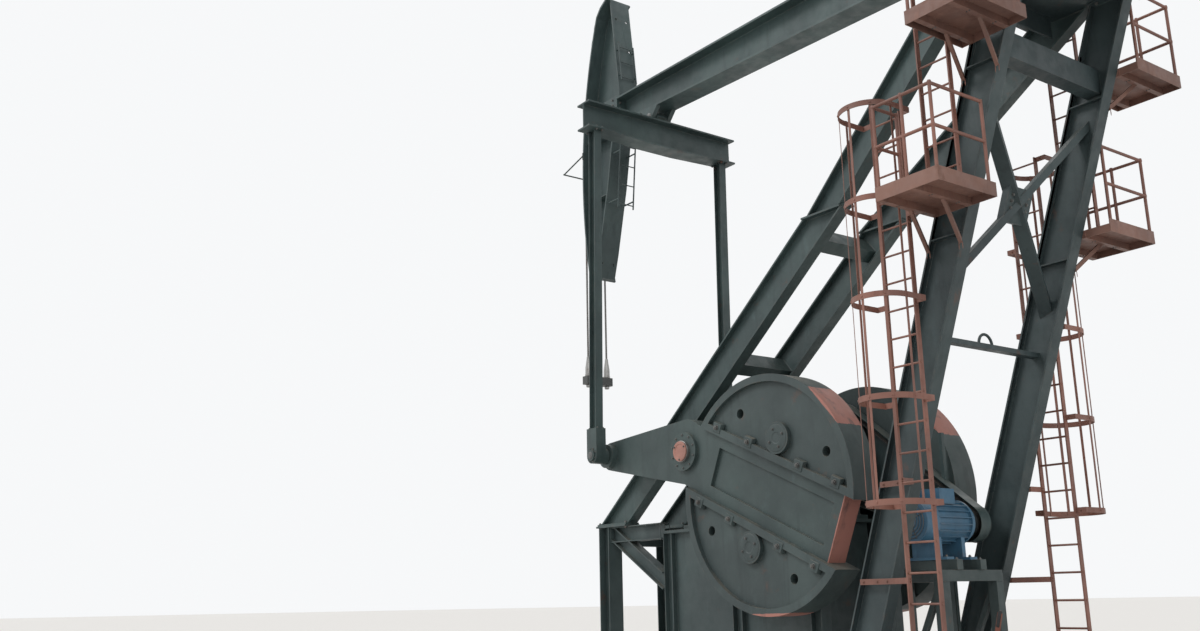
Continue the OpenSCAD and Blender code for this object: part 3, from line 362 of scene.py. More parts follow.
anchors = bmesh.new()
for x in (-2.6, 4.6):
    for side in (-1, 1):
        lathe(anchors, facing((x, side * 0.6, 0.026), (0, 0, 1)),
              ((0.045, -0.002), (0.045, 0.008), (0.042, 0.01)), 4)
        bolt(anchors, (x, side * 0.6, 0.034), (0, 0, 1), 0.033)
fastener_steel = weathered("fastener_steel", (0.11, 0.115, 0.115), rough=0.45, metallic=0.4, rust=0.9,
                           dust=0.2, grain=90)
piece("anchor_nuts", anchors, fastener_steel, "frame")

# Front columns and braces: two rolled steel columns that the front legs stand on, tied back to the reducer's
# stand by level beams with a slanting brace below each. Plates and nuts join them at the foot and the head.
stand_paint = weathered("stand_paint", (0.041, 0.062, 0.064), rough=0.52, soil=0.9, rust=0.4)
dress(stand_paint, 0.003, "front_columns", "stand_braces")

column_x = -2.33
front_y = 0.53
column_top = 2.64
beads = bmesh.new()
nuts = bmesh.new()
for side in (-1, 1):
    y = side * front_y
    for z, reach in ((0.445, 0.147), (2.665, 0.0)):
        for dy in (-0.095, 0.095):
            spots = (column_x - reach, column_x + reach) if reach else (column_x - 0.115, column_x + 0.505)
            for x in spots:
                bolt(nuts, (x, y + dy, z), (0, 0, 1), 0.02)
                if not reach:
                    bolt(nuts, (x, y + dy, column_top - 0.025), (0, 0, -1), 0.02)
    for x in (column_x - 0.12, column_x + 0.12):
        weld(beads, (x, y - 0.12, 0.446), (x, y + 0.12, 0.446), 0.007)
        weld(beads, (x, y - 0.12, 2.614), (x, y + 0.12, 2.614), 0.007)
    for edge in (-0.08, 0.08):
        weld(beads, (-1.05, y + edge, 2.395), (-1.05, y + edge, 2.615), 0.006)
        weld(beads, (column_x + 0.12, y + edge, 2.395), (column_x + 0.12, y + edge, 2.615), 0.006)
    weld(beads, (column_x + 0.06, y - side * 0.09, 2.36), (column_x + 0.06, y - side * 0.09, 2.61), 0.006)
piece("column_welds", beads, stand_paint, "frame")
piece("column_nuts", nuts, fastener_steel, "frame")

# Reducer stand: a welded box of rolled posts and side plates, with a thick top plate. The reducer is bolted
# down on it through the edge of its foot.
dress(stand_paint, 0.004, "reducer_stand")

stand_x1, stand_x2 = -1.05, 1.83
stand_y = 0.58
stand_top = 2.5
beads = bmesh.new()
for side in (-1, 1):
    for x in (stand_x1 + 0.09, 0.39, stand_x2 - 0.09):
        for dx in (-0.09, 0.09):
            for bead_z in (2.459, 0.541):
                weld(beads, (x + dx, side * (stand_y - 0.17), bead_z),
                     (x + dx, side * (stand_y - 0.01), bead_z), 0.007)
    web_y = side * (stand_y - 0.082)
    for bead_z in (0.541, 2.459):
        weld(beads, (stand_x1 + 0.18, web_y, bead_z), (stand_x2 - 0.18, web_y, bead_z), 0.006)
    weld(beads, (stand_x1, side * stand_y, base_top), (stand_x2, side * stand_y, base_top), 0.007)
piece("stand_welds", beads, stand_paint, "frame")

# Gear reducer: a cast iron case and cover, split level with its shafts. Bolts run along the split, round the
# bearing covers and the inspection cover, and through the foot. A breather stands on the top.
cast_paint = weathered("cast_paint", (0.038, 0.06, 0.06), rough=0.5, grain=24, rust=0.2, dust=0.35)
dress(cast_paint, 0.006, "reducer_case", "reducer_cover")

def bolt_ring(bm, centre, r, count, out, d):
    """Bolts at equal steps round a circle on a face that looks along Y."""
    for k in range(count):
        a = (k + 0.5) * tau / count
        bolt(bm, Vector(centre) + Vector((r * cos(a), 0, r * sin(a))), out, d)

shaft_h = 3.45
fast_x = 1.15
split_bolts = (-0.66, -0.44, 0.52, 0.74, 0.9, 1.46, 1.62)
foot_bolts = (-0.62, -0.26, 0.28, 0.92, 1.6)
case_bolts = bmesh.new()
for side in (-1, 1):
    for x in split_bolts:
        bolt(case_bolts, (x, side * 0.446, shaft_h + 0.05), (0, 0, 1), 0.02)
        bolt(case_bolts, (x, side * 0.446, shaft_h - 0.05), (0, 0, -1), 0.02)
    for x in foot_bolts:
        bolt(case_bolts, (x, side * 0.446, stand_top + 0.06), (0, 0, 1), 0.02)
    bolt_ring(case_bolts, (0, side * 0.58, shaft_h), 0.262, 12, (0, side, 0), 0.016)
    bolt_ring(case_bolts, (fast_x, side * 0.45, shaft_h), 0.112, 6, (0, side, 0), 0.01)
for x in (-0.27, -0.09, 0.09, 0.27):
    for y in (-0.19, 0.19):
        bolt(case_bolts, (x, y, 4.12), (0, 0, 1), 0.012)
piece("reducer_bolts", case_bolts, fastener_steel, "frame")

cover_parts = bmesh.new()
lathe(cover_parts, Matrix.Translation((-0.18, 0, 4.2)),
      ((0.05, 0), (0.052, 0.03), (0.075, 0.035), (0.078, 0.06), (0.06, 0.085), (0.025, 0.095)), 28)
for side in (-1, 1):
    # round covers of the slow shaft's bearings, with their rims
    ring = facing((0, side * 0.578, shaft_h), (0, side, 0))
    lathe(cover_parts, ring, ((0.302, 0), (0.302, 0.006), (0.296, 0.01), (0.22, 0.01), (0.215, 0.004)), 64)
piece("reducer_covers", cover_parts, cast_paint, "frame")

# Belt drive: a fast shaft with a spoked sheave, four rubber belts, and a sheet steel guard round them that is
# bolted to two posts. The brake drum sits on the other end of the shaft, with a steel band round it.
def band(bm, at, axis, r, t, w, a1, a2, steps):
    """Flat strap bent round a drum, from angle a1 to a2."""
    place = facing(at, axis)
    rings = []
    for i in range(steps + 1):
        a = a1 + (a2 - a1) * i / steps
        c, s = cos(a), sin(a)
        rings.append([bm.verts.new(place @ Vector((q * c, q * s, z)))
                      for q, z in ((r, -w / 2), (r + t, -w / 2), (r + t, w / 2), (r, w / 2))])
    for one, two in zip(rings, rings[1:]):
        for k in range(4):
            bm.faces.new((one[k], one[(k + 1) % 4], two[(k + 1) % 4], two[k]))
    bm.faces.new(rings[0][::-1])
    bm.faces.new(rings[-1])


machined_iron = weathered("machined_iron", (0.075, 0.08, 0.08), rough=0.42, metallic=0.35, worn=0.6,
                          rust=0.5, grain=70)
rubber = weathered("rubber", (0.022, 0.022, 0.023), rough=0.72, worn=0.0, rust=0.0, dust=0.5, grain=120)
guard_paint = weathered("guard_paint", (0.04, 0.064, 0.066), rough=0.45, dust=0.35, soil=0.5, rust=0.35)
dress(machined_iron, 0, "reducer_sheave", "motor_sheave")
dress(machined_iron, 0.004, "brake_drum")
dress(rubber, 0, "drive_belts")
dress(guard_paint, 0, "belt_guard")

belt_y = 0.545
guard_y = belt_y + 0.096
motor_x, motor_h = 3.15, 2.37
drive = Vector((motor_x - fast_x, 0, motor_h - shaft_h))
drive_length = drive.length
drive.normalize()
drive_up = Vector((-drive.z, 0, drive.x))
guard_r1, guard_r2 = 0.606, 0.216
trim = bmesh.new()
spread = asin((guard_r1 - guard_r2) / drive_length)
for at, r, a1, a2 in ((Vector((fast_x, 0, shaft_h)), guard_r1, pi / 2 - spread, 1.5 * pi + spread),
                      (Vector((motor_x, 0, motor_h)), guard_r2, -pi / 2 + spread, pi / 2 - spread)):
    steps = 26
    for i in range(steps):
        b1, b2 = (a1 + (a2 - a1) * k / steps for k in (i, i + 1))
        ends = [at + drive * (r * cos(b)) + drive_up * (r * sin(b)) for b in (b1, b2)]
        weld(trim, ends[0] + Vector((0, guard_y, 0)), ends[1] + Vector((0, guard_y, 0)), 0.005)
for k in range(6):
    t = 0.12 + k * 0.158
    for s in (-1, 1):
        r = guard_r1 + (guard_r2 - guard_r1) * t - 0.035
        spot = Vector((fast_x, guard_y, shaft_h)) + drive * (drive_length * t) + drive_up * (s * r)
        bolt(trim, spot, (0, 1, 0), 0.01)
piece("guard_bolts", trim, guard_paint, "frame")

ribs = bmesh.new()
for t in (0.42, 0.72):
    r = guard_r1 + (guard_r2 - guard_r1) * t - 0.02
    middle = Vector((fast_x, guard_y + 0.008, shaft_h)) + drive * (drive_length * t)
    corners = [middle + drive * dx + drive_up * dz + Vector((0, dy, 0))
               for dy in (-0.009, 0.012) for dx, dz in ((-0.02, -r), (0.02, -r), (0.02, r), (-0.02, r))]
    rib = [ribs.verts.new(c) for c in corners]
    for face in ((0, 1, 2, 3), (7, 6, 5, 4), (0, 4, 5, 1), (1, 5, 6, 2), (2, 6, 7, 3), (3, 7, 4, 0)):
        ribs.faces.new([rib[k] for k in face])
guard_ribs = piece("guard_ribs", ribs, guard_paint, "frame")
soften = guard_ribs.modifiers.new("soften", "BEVEL")
soften.width = 0.004
soften.segments = 2

drum_at = Vector((fast_x, -0.54, shaft_h))
strap = bmesh.new()
band(strap, drum_at, (0, -1, 0), 0.231, 0.007, 0.085, radians(-60), radians(255), 72)
for a in (-60, 255):
    c, s = cos(radians(a)), sin(radians(a))
    lug = facing(drum_at, (0, -1, 0)) @ Vector((0.262 * c, 0.262 * s, 0))
    lathe(strap, facing(lug + Vector((0, -0.042, 0)), (0, 1, 0)),
          ((0.02, 0), (0.022, 0.002), (0.022, 0.082), (0.02, 0.084)), 20)
piece("brake_band", strap, fastener_steel, "frame")

lever_paint = weathered("lever_paint", (0.2, 0.062, 0.038), rough=0.5, worn=0.6, rust=0.4, soil=0.3)
dress(lever_paint, 0.003, "brake_lever")
grip = bmesh.new()
lever_foot = Vector((4.0, -0.596, 0.48))
lever_top = Vector((4.26, -0.596, 1.4))
lever_run = (lever_top - lever_foot).normalized()
lathe(grip, facing(lever_top - lever_run * 0.14, lever_run),
      ((0.017, 0), (0.022, 0.01), (0.02, 0.05), (0.022, 0.09), (0.021, 0.15), (0.012, 0.165)), 20)
for y in (-0.612, -0.58):
    bolt(grip, (4.0, y, 0.48), (0, -1 if y < -0.6 else 1, 0), 0.014)
piece("lever_grip", grip, rubber, "frame")

# Motor: a finned electric motor, painted blue, on two rails across a raised frame of welded steel posts. The
# fan cover has a wire grille, the terminal box a screwed lid, and the feet are bolted down.
motor_paint = weathered("motor_paint", (0.05, 0.135, 0.22), rough=0.45, dust=0.4, rust=0.2)
dress(motor_paint, 0, "motor")
dress(base_paint, 0.004, "motor_rails")

hardware = bmesh.new()
for y in (-0.24, 0.16):
    for dx in (-0.25, 0.25):
        bolt(hardware, (motor_x + dx, y, 1.98), (0, 0, 1), 0.018)
    for dx in (-0.38, 0.38):
        bolt(hardware, (motor_x + dx, y, 1.95), (0, 0, 1), 0.016)
for dx in (-0.13, 0.13):
    for y in (-0.12, 0.1):
        bolt(hardware, (motor_x + dx, y, motor_h + 0.36), (0, 0, 1), 0.008)
bolt_ring(hardware, (motor_x, 0.35, motor_h), 0.17, 8, (0, 1, 0), 0.01)
piece("motor_bolts", hardware, fastener_steel, "frame")

beads = bmesh.new()
for end in (-1, 1):
    post_x = motor_x + end * 0.33
    for side in (-1, 1):
        post_y = side * 0.46
        for z in (base_top, 1.72):
            for d in (-0.06, 0.06):
                weld(beads, (post_x - 0.06, post_y + d, z), (post_x + 0.06, post_y + d, z), 0.007)
                weld(beads, (post_x + d, post_y - 0.06, z), (post_x + d, post_y + 0.06, z), 0.007)
    for y in (-0.24, 0.16):
        for d in (-0.05, 0.05):
            weld(beads, (post_x - 0.06, y + d, 1.84), (post_x + 0.06, y + d, 1.84), 0.006)
piece("motor_frame_welds", beads, base_paint, "frame")

grille = bmesh.new()
for r in (0.05, 0.085, 0.12, 0.155, 0.19):
    place = facing((motor_x, -0.497, motor_h), (0, -1, 0))
    rings = []
    for i in range(48):
        a = i * tau / 48
        rings.append([grille.verts.new(place @ Vector(((r + 0.004 * cos(b)) * cos(a), (r + 0.004 * cos(b)) * sin(a),
                                                       0.004 * sin(b))))
                      for b in (k * tau / 6 for k in range(6))])
    for i in range(48):
        one, two = rings[i], rings[(i + 1) % 48]
        for k in range(6):
            grille.faces.new((one[k], one[(k + 1) % 6], two[(k + 1) % 6], two[k]))
for k in range(4):
    a = k * tau / 4 + 0.4
    reach = Vector((cos(a), 0, sin(a)))
    lathe(grille, facing(Vector((motor_x, -0.494, motor_h)) + reach * 0.03, reach), ((0.004, 0), (0.004, 0.18)), 8)
piece("fan_grille", grille, fastener_steel, "frame")

# Legs: two kneed front legs of rolled beam with two ties between them, and two rear legs with a plain tie,
# a deep tie and a crossed brace. The plates at the ends and the knees are welded on, and bolted at the ends.
leg_paint = weathered("leg_paint", teal, rough=0.5, soil=0.8, rust=0.3, dust=0.3)
# The post's paint is the legs' teal made darker, as painted shade on the rear legs, their ties and brace, the cap and
# its welds; soil stains it low down.
shaded_post_paint = weathered("shaded_post_paint", (0.034, 0.052, 0.056), rough=0.52, soil=1.0, rust=0.35)
dress(leg_paint, 0.004, "front_leg_left", "front_leg_right", "front_ties")
dress(shaded_post_paint, 0.004, "rear_leg_left", "rear_leg_right", merged=False)
dress(shaded_post_paint, 0.004, "rear_ties", "rear_cross_brace")

leg_d = 0.41
foot_x, foot_lean = 2.575, 0.372
rear_y = 0.93
leg_top = 8.06
front_foot = Vector((-2.14, 0.53, 2.64))
front_knee = Vector((2.3, 0.53, 6.15))
front_head = Vector((4.82, 0.9, leg_top))


def rear_x(z):
    return foot_x + (z - base_top) * foot_lean


def leg_outline(beads, spot, run, side, z, shift=0.0, half=0.085):
    """Weld round the foot of a rolled beam that is cut level at height z."""
    run = run.normalized()
    stretch = 1 / max(0.2, abs(run.z))
    reach = leg_d / 2 * stretch
    for dx in (-reach, reach):
        weld(beads, (spot.x + dx, side * spot.y - half, z + shift),
             (spot.x + dx, side * spot.y + half, z + shift), 0.008)
    for dy in (-0.008, 0.008):
        weld(beads, (spot.x - reach, side * spot.y + dy, z + shift),
             (spot.x + reach, side * spot.y + dy, z + shift), 0.006)


beads = bmesh.new()
nuts = bmesh.new()
rear_run = Vector((foot_lean, 0, 1))
for side in (-1, 1):
    leg_outline(beads, Vector((foot_x + 0.009, rear_y, 0)), rear_run, side, base_top + 0.026)
    leg_outline(beads, Vector((rear_x(leg_top - 0.025), rear_y, 0)), rear_run, side, leg_top - 0.026)
    leg_outline(beads, front_foot + Vector((0.03, 0, 0)), front_knee - front_foot, side, 2.666)
    for z in (-0.0125, 0.0125):
        leg_outline(beads, front_knee + Vector((z, 0, 0)), front_knee - front_foot, side, front_knee.z + z)
    leg_outline(beads, front_head - Vector((0.01, 0, 0)), front_head - front_knee, side, leg_top - 0.003)
    for dx in (-0.13, 0.13):
        for dy in (-0.108, 0.108):
            bolt(nuts, (foot_x + 0.01 + dx, side * rear_y + dy, base_top + 0.025), (0, 0, 1), 0.024)
            nut_x, nut_y = rear_x(leg_top) - 0.005 + dx, side * rear_y + dy * 0.75
            bolt(nuts, (nut_x, nut_y, leg_top + 0.05), (0, 0, 1), 0.022)
            bolt(nuts, (nut_x, nut_y, leg_top - 0.025), (0, 0, -1), 0.022)
    # the ties are welded to the webs of the legs
    for z, half_x, half_z in ((4.205, 0.05, 0.029), (7.13, 0.09, 0.15)):
        x, y = rear_x(z), side * (rear_y - 0.009)
        for dz in (-half_z, half_z):
            weld(beads, (x - half_x, y, z + dz), (x + half_x, y, z + dz), 0.007)
        for dx in (-half_x, half_x):
            weld(beads, (x + dx, y, z - half_z), (x + dx, y, z + half_z), 0.007)
    for t in (0.565, 0.93):
        spot = front_foot.lerp(front_knee, t)
        slope = (front_knee - front_foot).normalized()
        rise = Vector((-slope.z, 0, slope.x))
        ends = [spot + slope * (u * 0.09) + rise * (v * 0.13) for u, v in ((-1, -1), (1, -1), (1, 1), (-1, 1))]
        for one, two in zip(ends, ends[1:] + ends[:1]):
            weld(beads, (one.x, side * (front_y - 0.008), one.z), (two.x, side * (front_y - 0.008), two.z), 0.008)
piece("leg_welds", beads, leg_paint, "frame")
piece("leg_nuts", nuts, fastener_steel, "frame")

brace = bmesh.new()
mid_z = (4.7 + 6.65) / 2
for side in (-1, 1):
    for s in (-1, 1):
        for z in (mid_z + s * 0.1, mid_z + s * 0.035):
            spot = Vector((rear_x(z), 0, z))
            out = Vector((1, 0, -foot_lean)).normalized() * side
            bolt(brace, spot + out * 0.04 + Vector((0, 0.13 * s, 0)), out, 0.018)
            bolt(brace, spot + out * 0.04 - Vector((0, 0.13 * s, 0)), out, 0.018)
piece("brace_bolts", brace, fastener_steel, "frame")

# Top of the post: a thick cap plate over the four legs, and two bearings for the beam's shaft, each a cast
# block with a round housing, bolted down on the plate.
# The cap and its welds take the post's darker paint, painted shade over the legs' teal.
dress(shaded_post_paint, 0.005, "post_cap")
dress(cast_paint, 0.006, "saddle_bearings")

pivot_x, pivot_h = 5.55, 8.35
cap_top = 8.11
bearing_bolts = bmesh.new()
for side in (-1, 1):
    for dx in (-0.298, 0.298):
        for y in (0.52, 0.67):
            bolt(bearing_bolts, (pivot_x + dx, side * y, cap_top + 0.06), (0, 0, 1), 0.022)
            bolt(bearing_bolts, (pivot_x + dx, side * y, cap_top - 0.05), (0, 0, -1), 0.022)
    for y, out in ((0.72, side), (0.47, -side)):
        bolt_ring(bearing_bolts, (pivot_x, side * y, pivot_h), 0.13, 8, (0, out, 0), 0.012)
piece("bearing_bolts", bearing_bolts, fastener_steel, "frame")

beads = bmesh.new()
for side in (-1, 1):
    for x in (4.72, 4.75, 5.8, 5.83):
        weld(beads, (x, side * 0.76, leg_top), (x, side * 0.3, leg_top), 0.006)
piece("cap_welds", beads, shaded_post_paint, "frame")
nipples = bmesh.new()
for side in (-1, 1):
    lathe(nipples, Matrix.Translation((pivot_x, side * 0.595, pivot_h + 0.165)),
          ((0.016, 0), (0.016, 0.014), (0.007, 0.018), (0.007, 0.03), (0.01, 0.034), (0.006, 0.042)), 12)
piece("grease_nipples", nipples, fastener_steel, "frame")

# Ladders and cages: flat steel rails with round rungs, and round straps with upright strips riveted inside
# them. They are painted a dull orange, faded and chipped, and bolted to the legs and the platforms.
ladder_paint = weathered("ladder_paint", (0.2, 0.091, 0.069), rough=0.55, worn=0.5, rust=0.55, dust=0.25,
                         soil=0.6, grain=60)
dress(ladder_paint, 0, "left_ladders", "right_ladders", "left_cage", "right_cage")

ladder_y = 1.224
ladder_w = 0.38
lower_x, upper_x = 3.875, 4.56
deck1_h, deck2_h = 5.53, 7.25
deck1_x, deck2_x = lower_x + 0.355, upper_x + 0.22
cage_r = 0.32
hoop_y = ladder_y + 0.03 + cage_r - 0.06
hoop_low, hoop_top = 2.44, 6.6
ladder_fixings = bmesh.new()
rung_welds = bmesh.new()
for side in (-1, 1):
    for x, first, top in ((lower_x, 0.3, 6.6), (upper_x, deck1_h + 0.3, 8.19)):
        z = first
        while z < top:
            for s in (-1, 1):
                for face in (-1, 1):
                    collar = Vector((x + s * (ladder_w / 2 + face * 0.008), side * ladder_y, z))
                    lathe(rung_welds, facing(collar, (face, 0, 0)),
                          ((0.0165, -0.001), (0.015, 0.003), (0.012, 0.006)), 10)
            z += 0.3
    for z in (1.7, 2.7):
        x = rear_x(z)
        for dx in (-0.14, 0.05, 0.18):
            bolt(ladder_fixings, (x + dx, side * (rear_y + 0.085 + 0.012), z + 0.03), (0, side, 0), 0.012)
        for dz in (0.015, 0.045):
            bolt(ladder_fixings, (lower_x - ladder_w / 2 + 0.008, side * (ladder_y - 0.012), z + dz),
                 (1, 0, 0), 0.01)
    for x, z in ((lower_x, deck1_h), (upper_x, deck2_h)):
        for dz in (-0.055, -0.025):
            bolt(ladder_fixings, (x + ladder_w / 2 - 0.008, side * ladder_y, z + dz), (-1, 0, 0), 0.01)
    for i in range(5):
        z = hoop_low + i * (hoop_top - hoop_low) / 4 + 0.03
        for a in (0, 45, 90, 135, 180):
            c, s = cos(radians(a)), sin(radians(a))
            rivet = Vector((lower_x + cage_r * c, side * (hoop_y + cage_r * s), z))
            lathe(ladder_fixings, facing(rivet, (c, side * s, 0)),
                  ((0.0125, -0.002), (0.0125, 0.001), (0.01, 0.006), (0.005, 0.008)), 12)
        for s in (-1, 1):
            spot = Vector((lower_x + s * (ladder_w / 2 + 0.06), side * (hoop_y - cage_r + 0.03), z))
            bolt(ladder_fixings, spot, (0, -side, 0), 0.01)
piece("ladder_fixings", ladder_fixings, ladder_paint, "frame")
piece("rung_welds", rung_welds, ladder_paint, "frame")

# Platforms: chequered floor plate in a welded edge channel, on two arms with braces down to the rear leg.
# Handrails of round tube stand inside the edge, welded at their joints.
deck_paint = weathered("deck_paint", (0.185, 0.098, 0.076), rough=0.58, worn=0.6, rust=0.6, dust=0.45, grain=60)
dress(deck_paint, 0.002, "left_decks", "right_decks")
dress(ladder_paint, 0, "left_handrails", "right_handrails")

deck_l, deck_w = 0.78, 0.91
deck_y = rear_y + 0.085
tread = bmesh.new()
joints = bmesh.new()
deck_bolts = bmesh.new()
for side in (-1, 1):
    for x0, z in ((deck1_x, deck1_h), (deck2_x, deck2_h)):
        across_count, along_count = 22, 19
        for i in range(along_count):
            for j in range(across_count):
                cx = x0 + 0.03 + (deck_l - 0.06) * (i + 0.5) / along_count
                cy = side * (deck_y + 0.02 + (deck_w - 0.05) * (j + 0.5) / across_count)
                lay = radians(45 if (i + j) % 2 else -45)
                c, s = cos(lay), sin(lay)
                rim = [tread.verts.new((cx + u * c - v * s, cy + u * s + v * c, z - 0.0003))
                       for u, v in ((-0.013, 0), (0, -0.0045), (0.013, 0), (0, 0.0045))]
                crest = [tread.verts.new((cx + u * c, cy + u * s, z + 0.0022)) for u in (-0.007, 0.007)]
                for face in ((rim[0], rim[1], crest[1], crest[0]), (rim[1], rim[2], crest[1]),
                             (rim[2], rim[3], crest[0], crest[1]), (rim[3], rim[0], crest[0]), rim[::-1]):
                    tread.faces.new(face)
        y_out = deck_y + deck_w - 0.03
        posts = ((x0 + 0.03, y_out), (x0 + deck_l / 2, y_out), (x0 + deck_l - 0.03, y_out), (x0 + 0.03, y_out - 0.36))
        for px_, py_ in posts:
            spot = Vector((px_, side * py_, z))
            lathe(joints, Matrix.Translation(spot), ((0.026, -0.001), (0.022, 0.005), (0.018, 0.009)), 14)
            for h in (0.95 * 0.52, 0.95 - 0.018):
                lathe(joints, Matrix.Translation(spot + Vector((0, 0, h - 0.024))),
                      ((0.0175, 0), (0.0215, 0.012), (0.0225, 0.024), (0.0215, 0.036), (0.0175, 0.048)), 14)
        for zz in (z, z - 0.42):
            for s in (-1, 1):
                x = rear_x(zz) + s * 0.207
                for dx in (-0.022, 0.022):
                    weld(joints, (x + dx, side * deck_y, zz - 0.09), (x + dx, side * deck_y, zz - 0.01), 0.005)
        for s in (-1, 1):
            x = rear_x(z) + s * 0.207
            for dy in (0.2, 0.62):
                for dx in (-0.016, 0.016):
                    bolt(deck_bolts, (x + dx, side * (deck_y + dy), z - 0.0895), (0, 0, -1), 0.008)
piece("deck_tread", tread, deck_paint, "frame", sharp=10)
piece("rail_joints", joints, ladder_paint, "frame")
piece("deck_bolts", deck_bolts, fastener_steel, "frame")

# Crankshaft and cranks: a forged shaft with a cast crank on each end, keyed on and clamped by big bolts. The
# ends of the near tail and of the shaft are painted orange, as warning marks.
crank_paint = weathered("crank_paint", (0.04, 0.062, 0.062), rough=0.5, grain=22, rust=0.25, dust=0.35, patches=(
    (2.782 - sin(radians(24)) * shaft_h, 9.0, (cos(radians(24)), 0, -sin(radians(24))),
     (0.34, 0.145, 0.115)),))
shaft_steel = weathered("shaft_steel", (0.3, 0.3, 0.295), rough=0.38, metallic=0.85, worn=0.0, rust=0.45,
                        dust=0.15, grain=90)
dress(crank_paint, 0.008, "crank_left", "crank_right", merged=False)
dress(shaft_steel, 0.004, "crankshaft", "beam_shaft")

crank_y = 0.72
crank_face = crank_y + 0.27
drop = radians(24)
tail = Vector((cos(drop), 0, -sin(drop)))
tail_up = Vector((sin(drop), 0, cos(drop)))
shaft_at = Vector((0, 0, shaft_h))
wrist = Vector((-1.65 * cos(radians(4)), 0, shaft_h + 1.65 * sin(radians(4))))
cover_paint = weathered("cover_paint", (0.33, 0.16, 0.13), rough=0.5, worn=0.5, rust=0.25, grain=60)
crank_bolts = bmesh.new()
end_covers = bmesh.new()
for side in (-1, 1):
    lathe(end_covers, facing((0, side * 1.079, shaft_h), (0, side, 0)),
          ((0.128, 0), (0.13, 0.004), (0.13, 0.016), (0.125, 0.02), (0.095, 0.021), (0.088, 0.014), (0.02, 0.014)),
          56)
    for k in range(3):
        a = k * tau / 3 + 0.5
        bolt(crank_bolts, (0.108 * cos(a), side * 1.099, shaft_h + 0.108 * sin(a)), (0, side, 0), 0.012)
    bolt_ring(crank_bolts, (0, side * (crank_face + 0.05), shaft_h), 0.215, 10, (0, side, 0), 0.014)
piece("shaft_end_covers", end_covers, cover_paint, "cranks")
piece("crank_bolts", crank_bolts, fastener_steel, "cranks")

# Counterweights: two thick half discs of cast iron on each crank, with a raised rim and a round boss, held
# on the tail's edges by long bolts through lugs. A patch of each rim is painted orange.
weight_at = shaft_at + tail * 1.62
rim_marks = []
for s in (-1, 1):
    mark = tail * cos(radians(65)) + tail_up * (s * sin(radians(65)))
    rim_marks.append((weight_at.dot(mark) + 1.39, 9.0, tuple(mark), (0.34, 0.145, 0.115)))
weight_paint = weathered("weight_paint", (0.039, 0.058, 0.059), rough=0.55, grain=18, rust=0.3, dust=0.4, worn=0.4,
                         patches=rim_marks)
dress(weight_paint, 0, "weights_left", "weights_right")

weight_bolts = bmesh.new()
weight_lugs = bmesh.new()
for side in (-1, 1):
    for s in (-1, 1):
        for u in (-1.05, -0.45, 0.45, 1.05):
            # a lug stands on the weight's flat edge, and its bolt runs down into the crank's tail
            foot = weight_at + tail * u + tail_up * (s * 0.49)
            spot = Vector((foot.x, side * (crank_face + 0.035), foot.z))
            corners = []
            for dy, half in ((0.0, 0.085), (0.055, 0.07)):
                for du, dv in ((-half, -0.07), (half, -0.07), (half, 0.07), (-half, 0.07)):
                    corner = spot + tail * du + tail_up * (dv * half / 0.085) + Vector((0, side * dy, 0))
                    corners.append(weight_lugs.verts.new(corner))
            for face in ((3, 2, 1, 0), (4, 5, 6, 7), (0, 1, 5, 4), (1, 2, 6, 5), (2, 3, 7, 6), (3, 0, 4, 7)):
                weight_lugs.faces.new([corners[k] for k in face])
            bolt(weight_bolts, spot + Vector((0, side * 0.055, 0)), (0, side, 0), 0.03)
        hub = weight_at + tail_up * (s * 0.68)
        lathe(weight_lugs, facing((hub.x, side * 1.069, hub.z), (0, side, 0)),
              ((0.165, -0.004), (0.165, 0.004), (0.15, 0.008), (0.07, 0.008), (0.062, 0.002)), 56)
        for k in range(4):
            a = (k + 0.5) * tau / 4
            rim = hub + tail * (0.115 * cos(a)) + tail_up * (0.115 * sin(a))
            bolt(weight_bolts, (rim.x, side * 1.077, rim.z), (0, side, 0), 0.016)
lugs = piece("weight_lugs", weight_lugs, weight_paint, "cranks")
soften = lugs.modifiers.new("soften", "BEVEL")
soften.width = 0.006
soften.segments = 2
piece("weight_bolts", weight_bolts, fastener_steel, "cranks")

# Walking beam: a deep welded beam with two stiffeners over its bearing. Its saddle is bolted over the shaft on
# the post, and its front clamps hang the yoke.
beam_paint = weathered("beam_paint", (0.043, 0.072, 0.073), rough=0.48, rust=0.25, dust=0.3)
dress(beam_paint, 0.005, "walking_beam", merged=False)

beam_x1, beam_x2 = -2.41, 6.25
rib_root, rib_edge = 0.014, 0.165


def beam_low(x):
    return pivot_h + 0.415 + 0.325 * (pivot_x - x) / (pivot_x - beam_x1)


def beam_high(x):
    return beam_low(x) + 0.665 - 0.185 * (pivot_x - x) / (pivot_x - beam_x1)


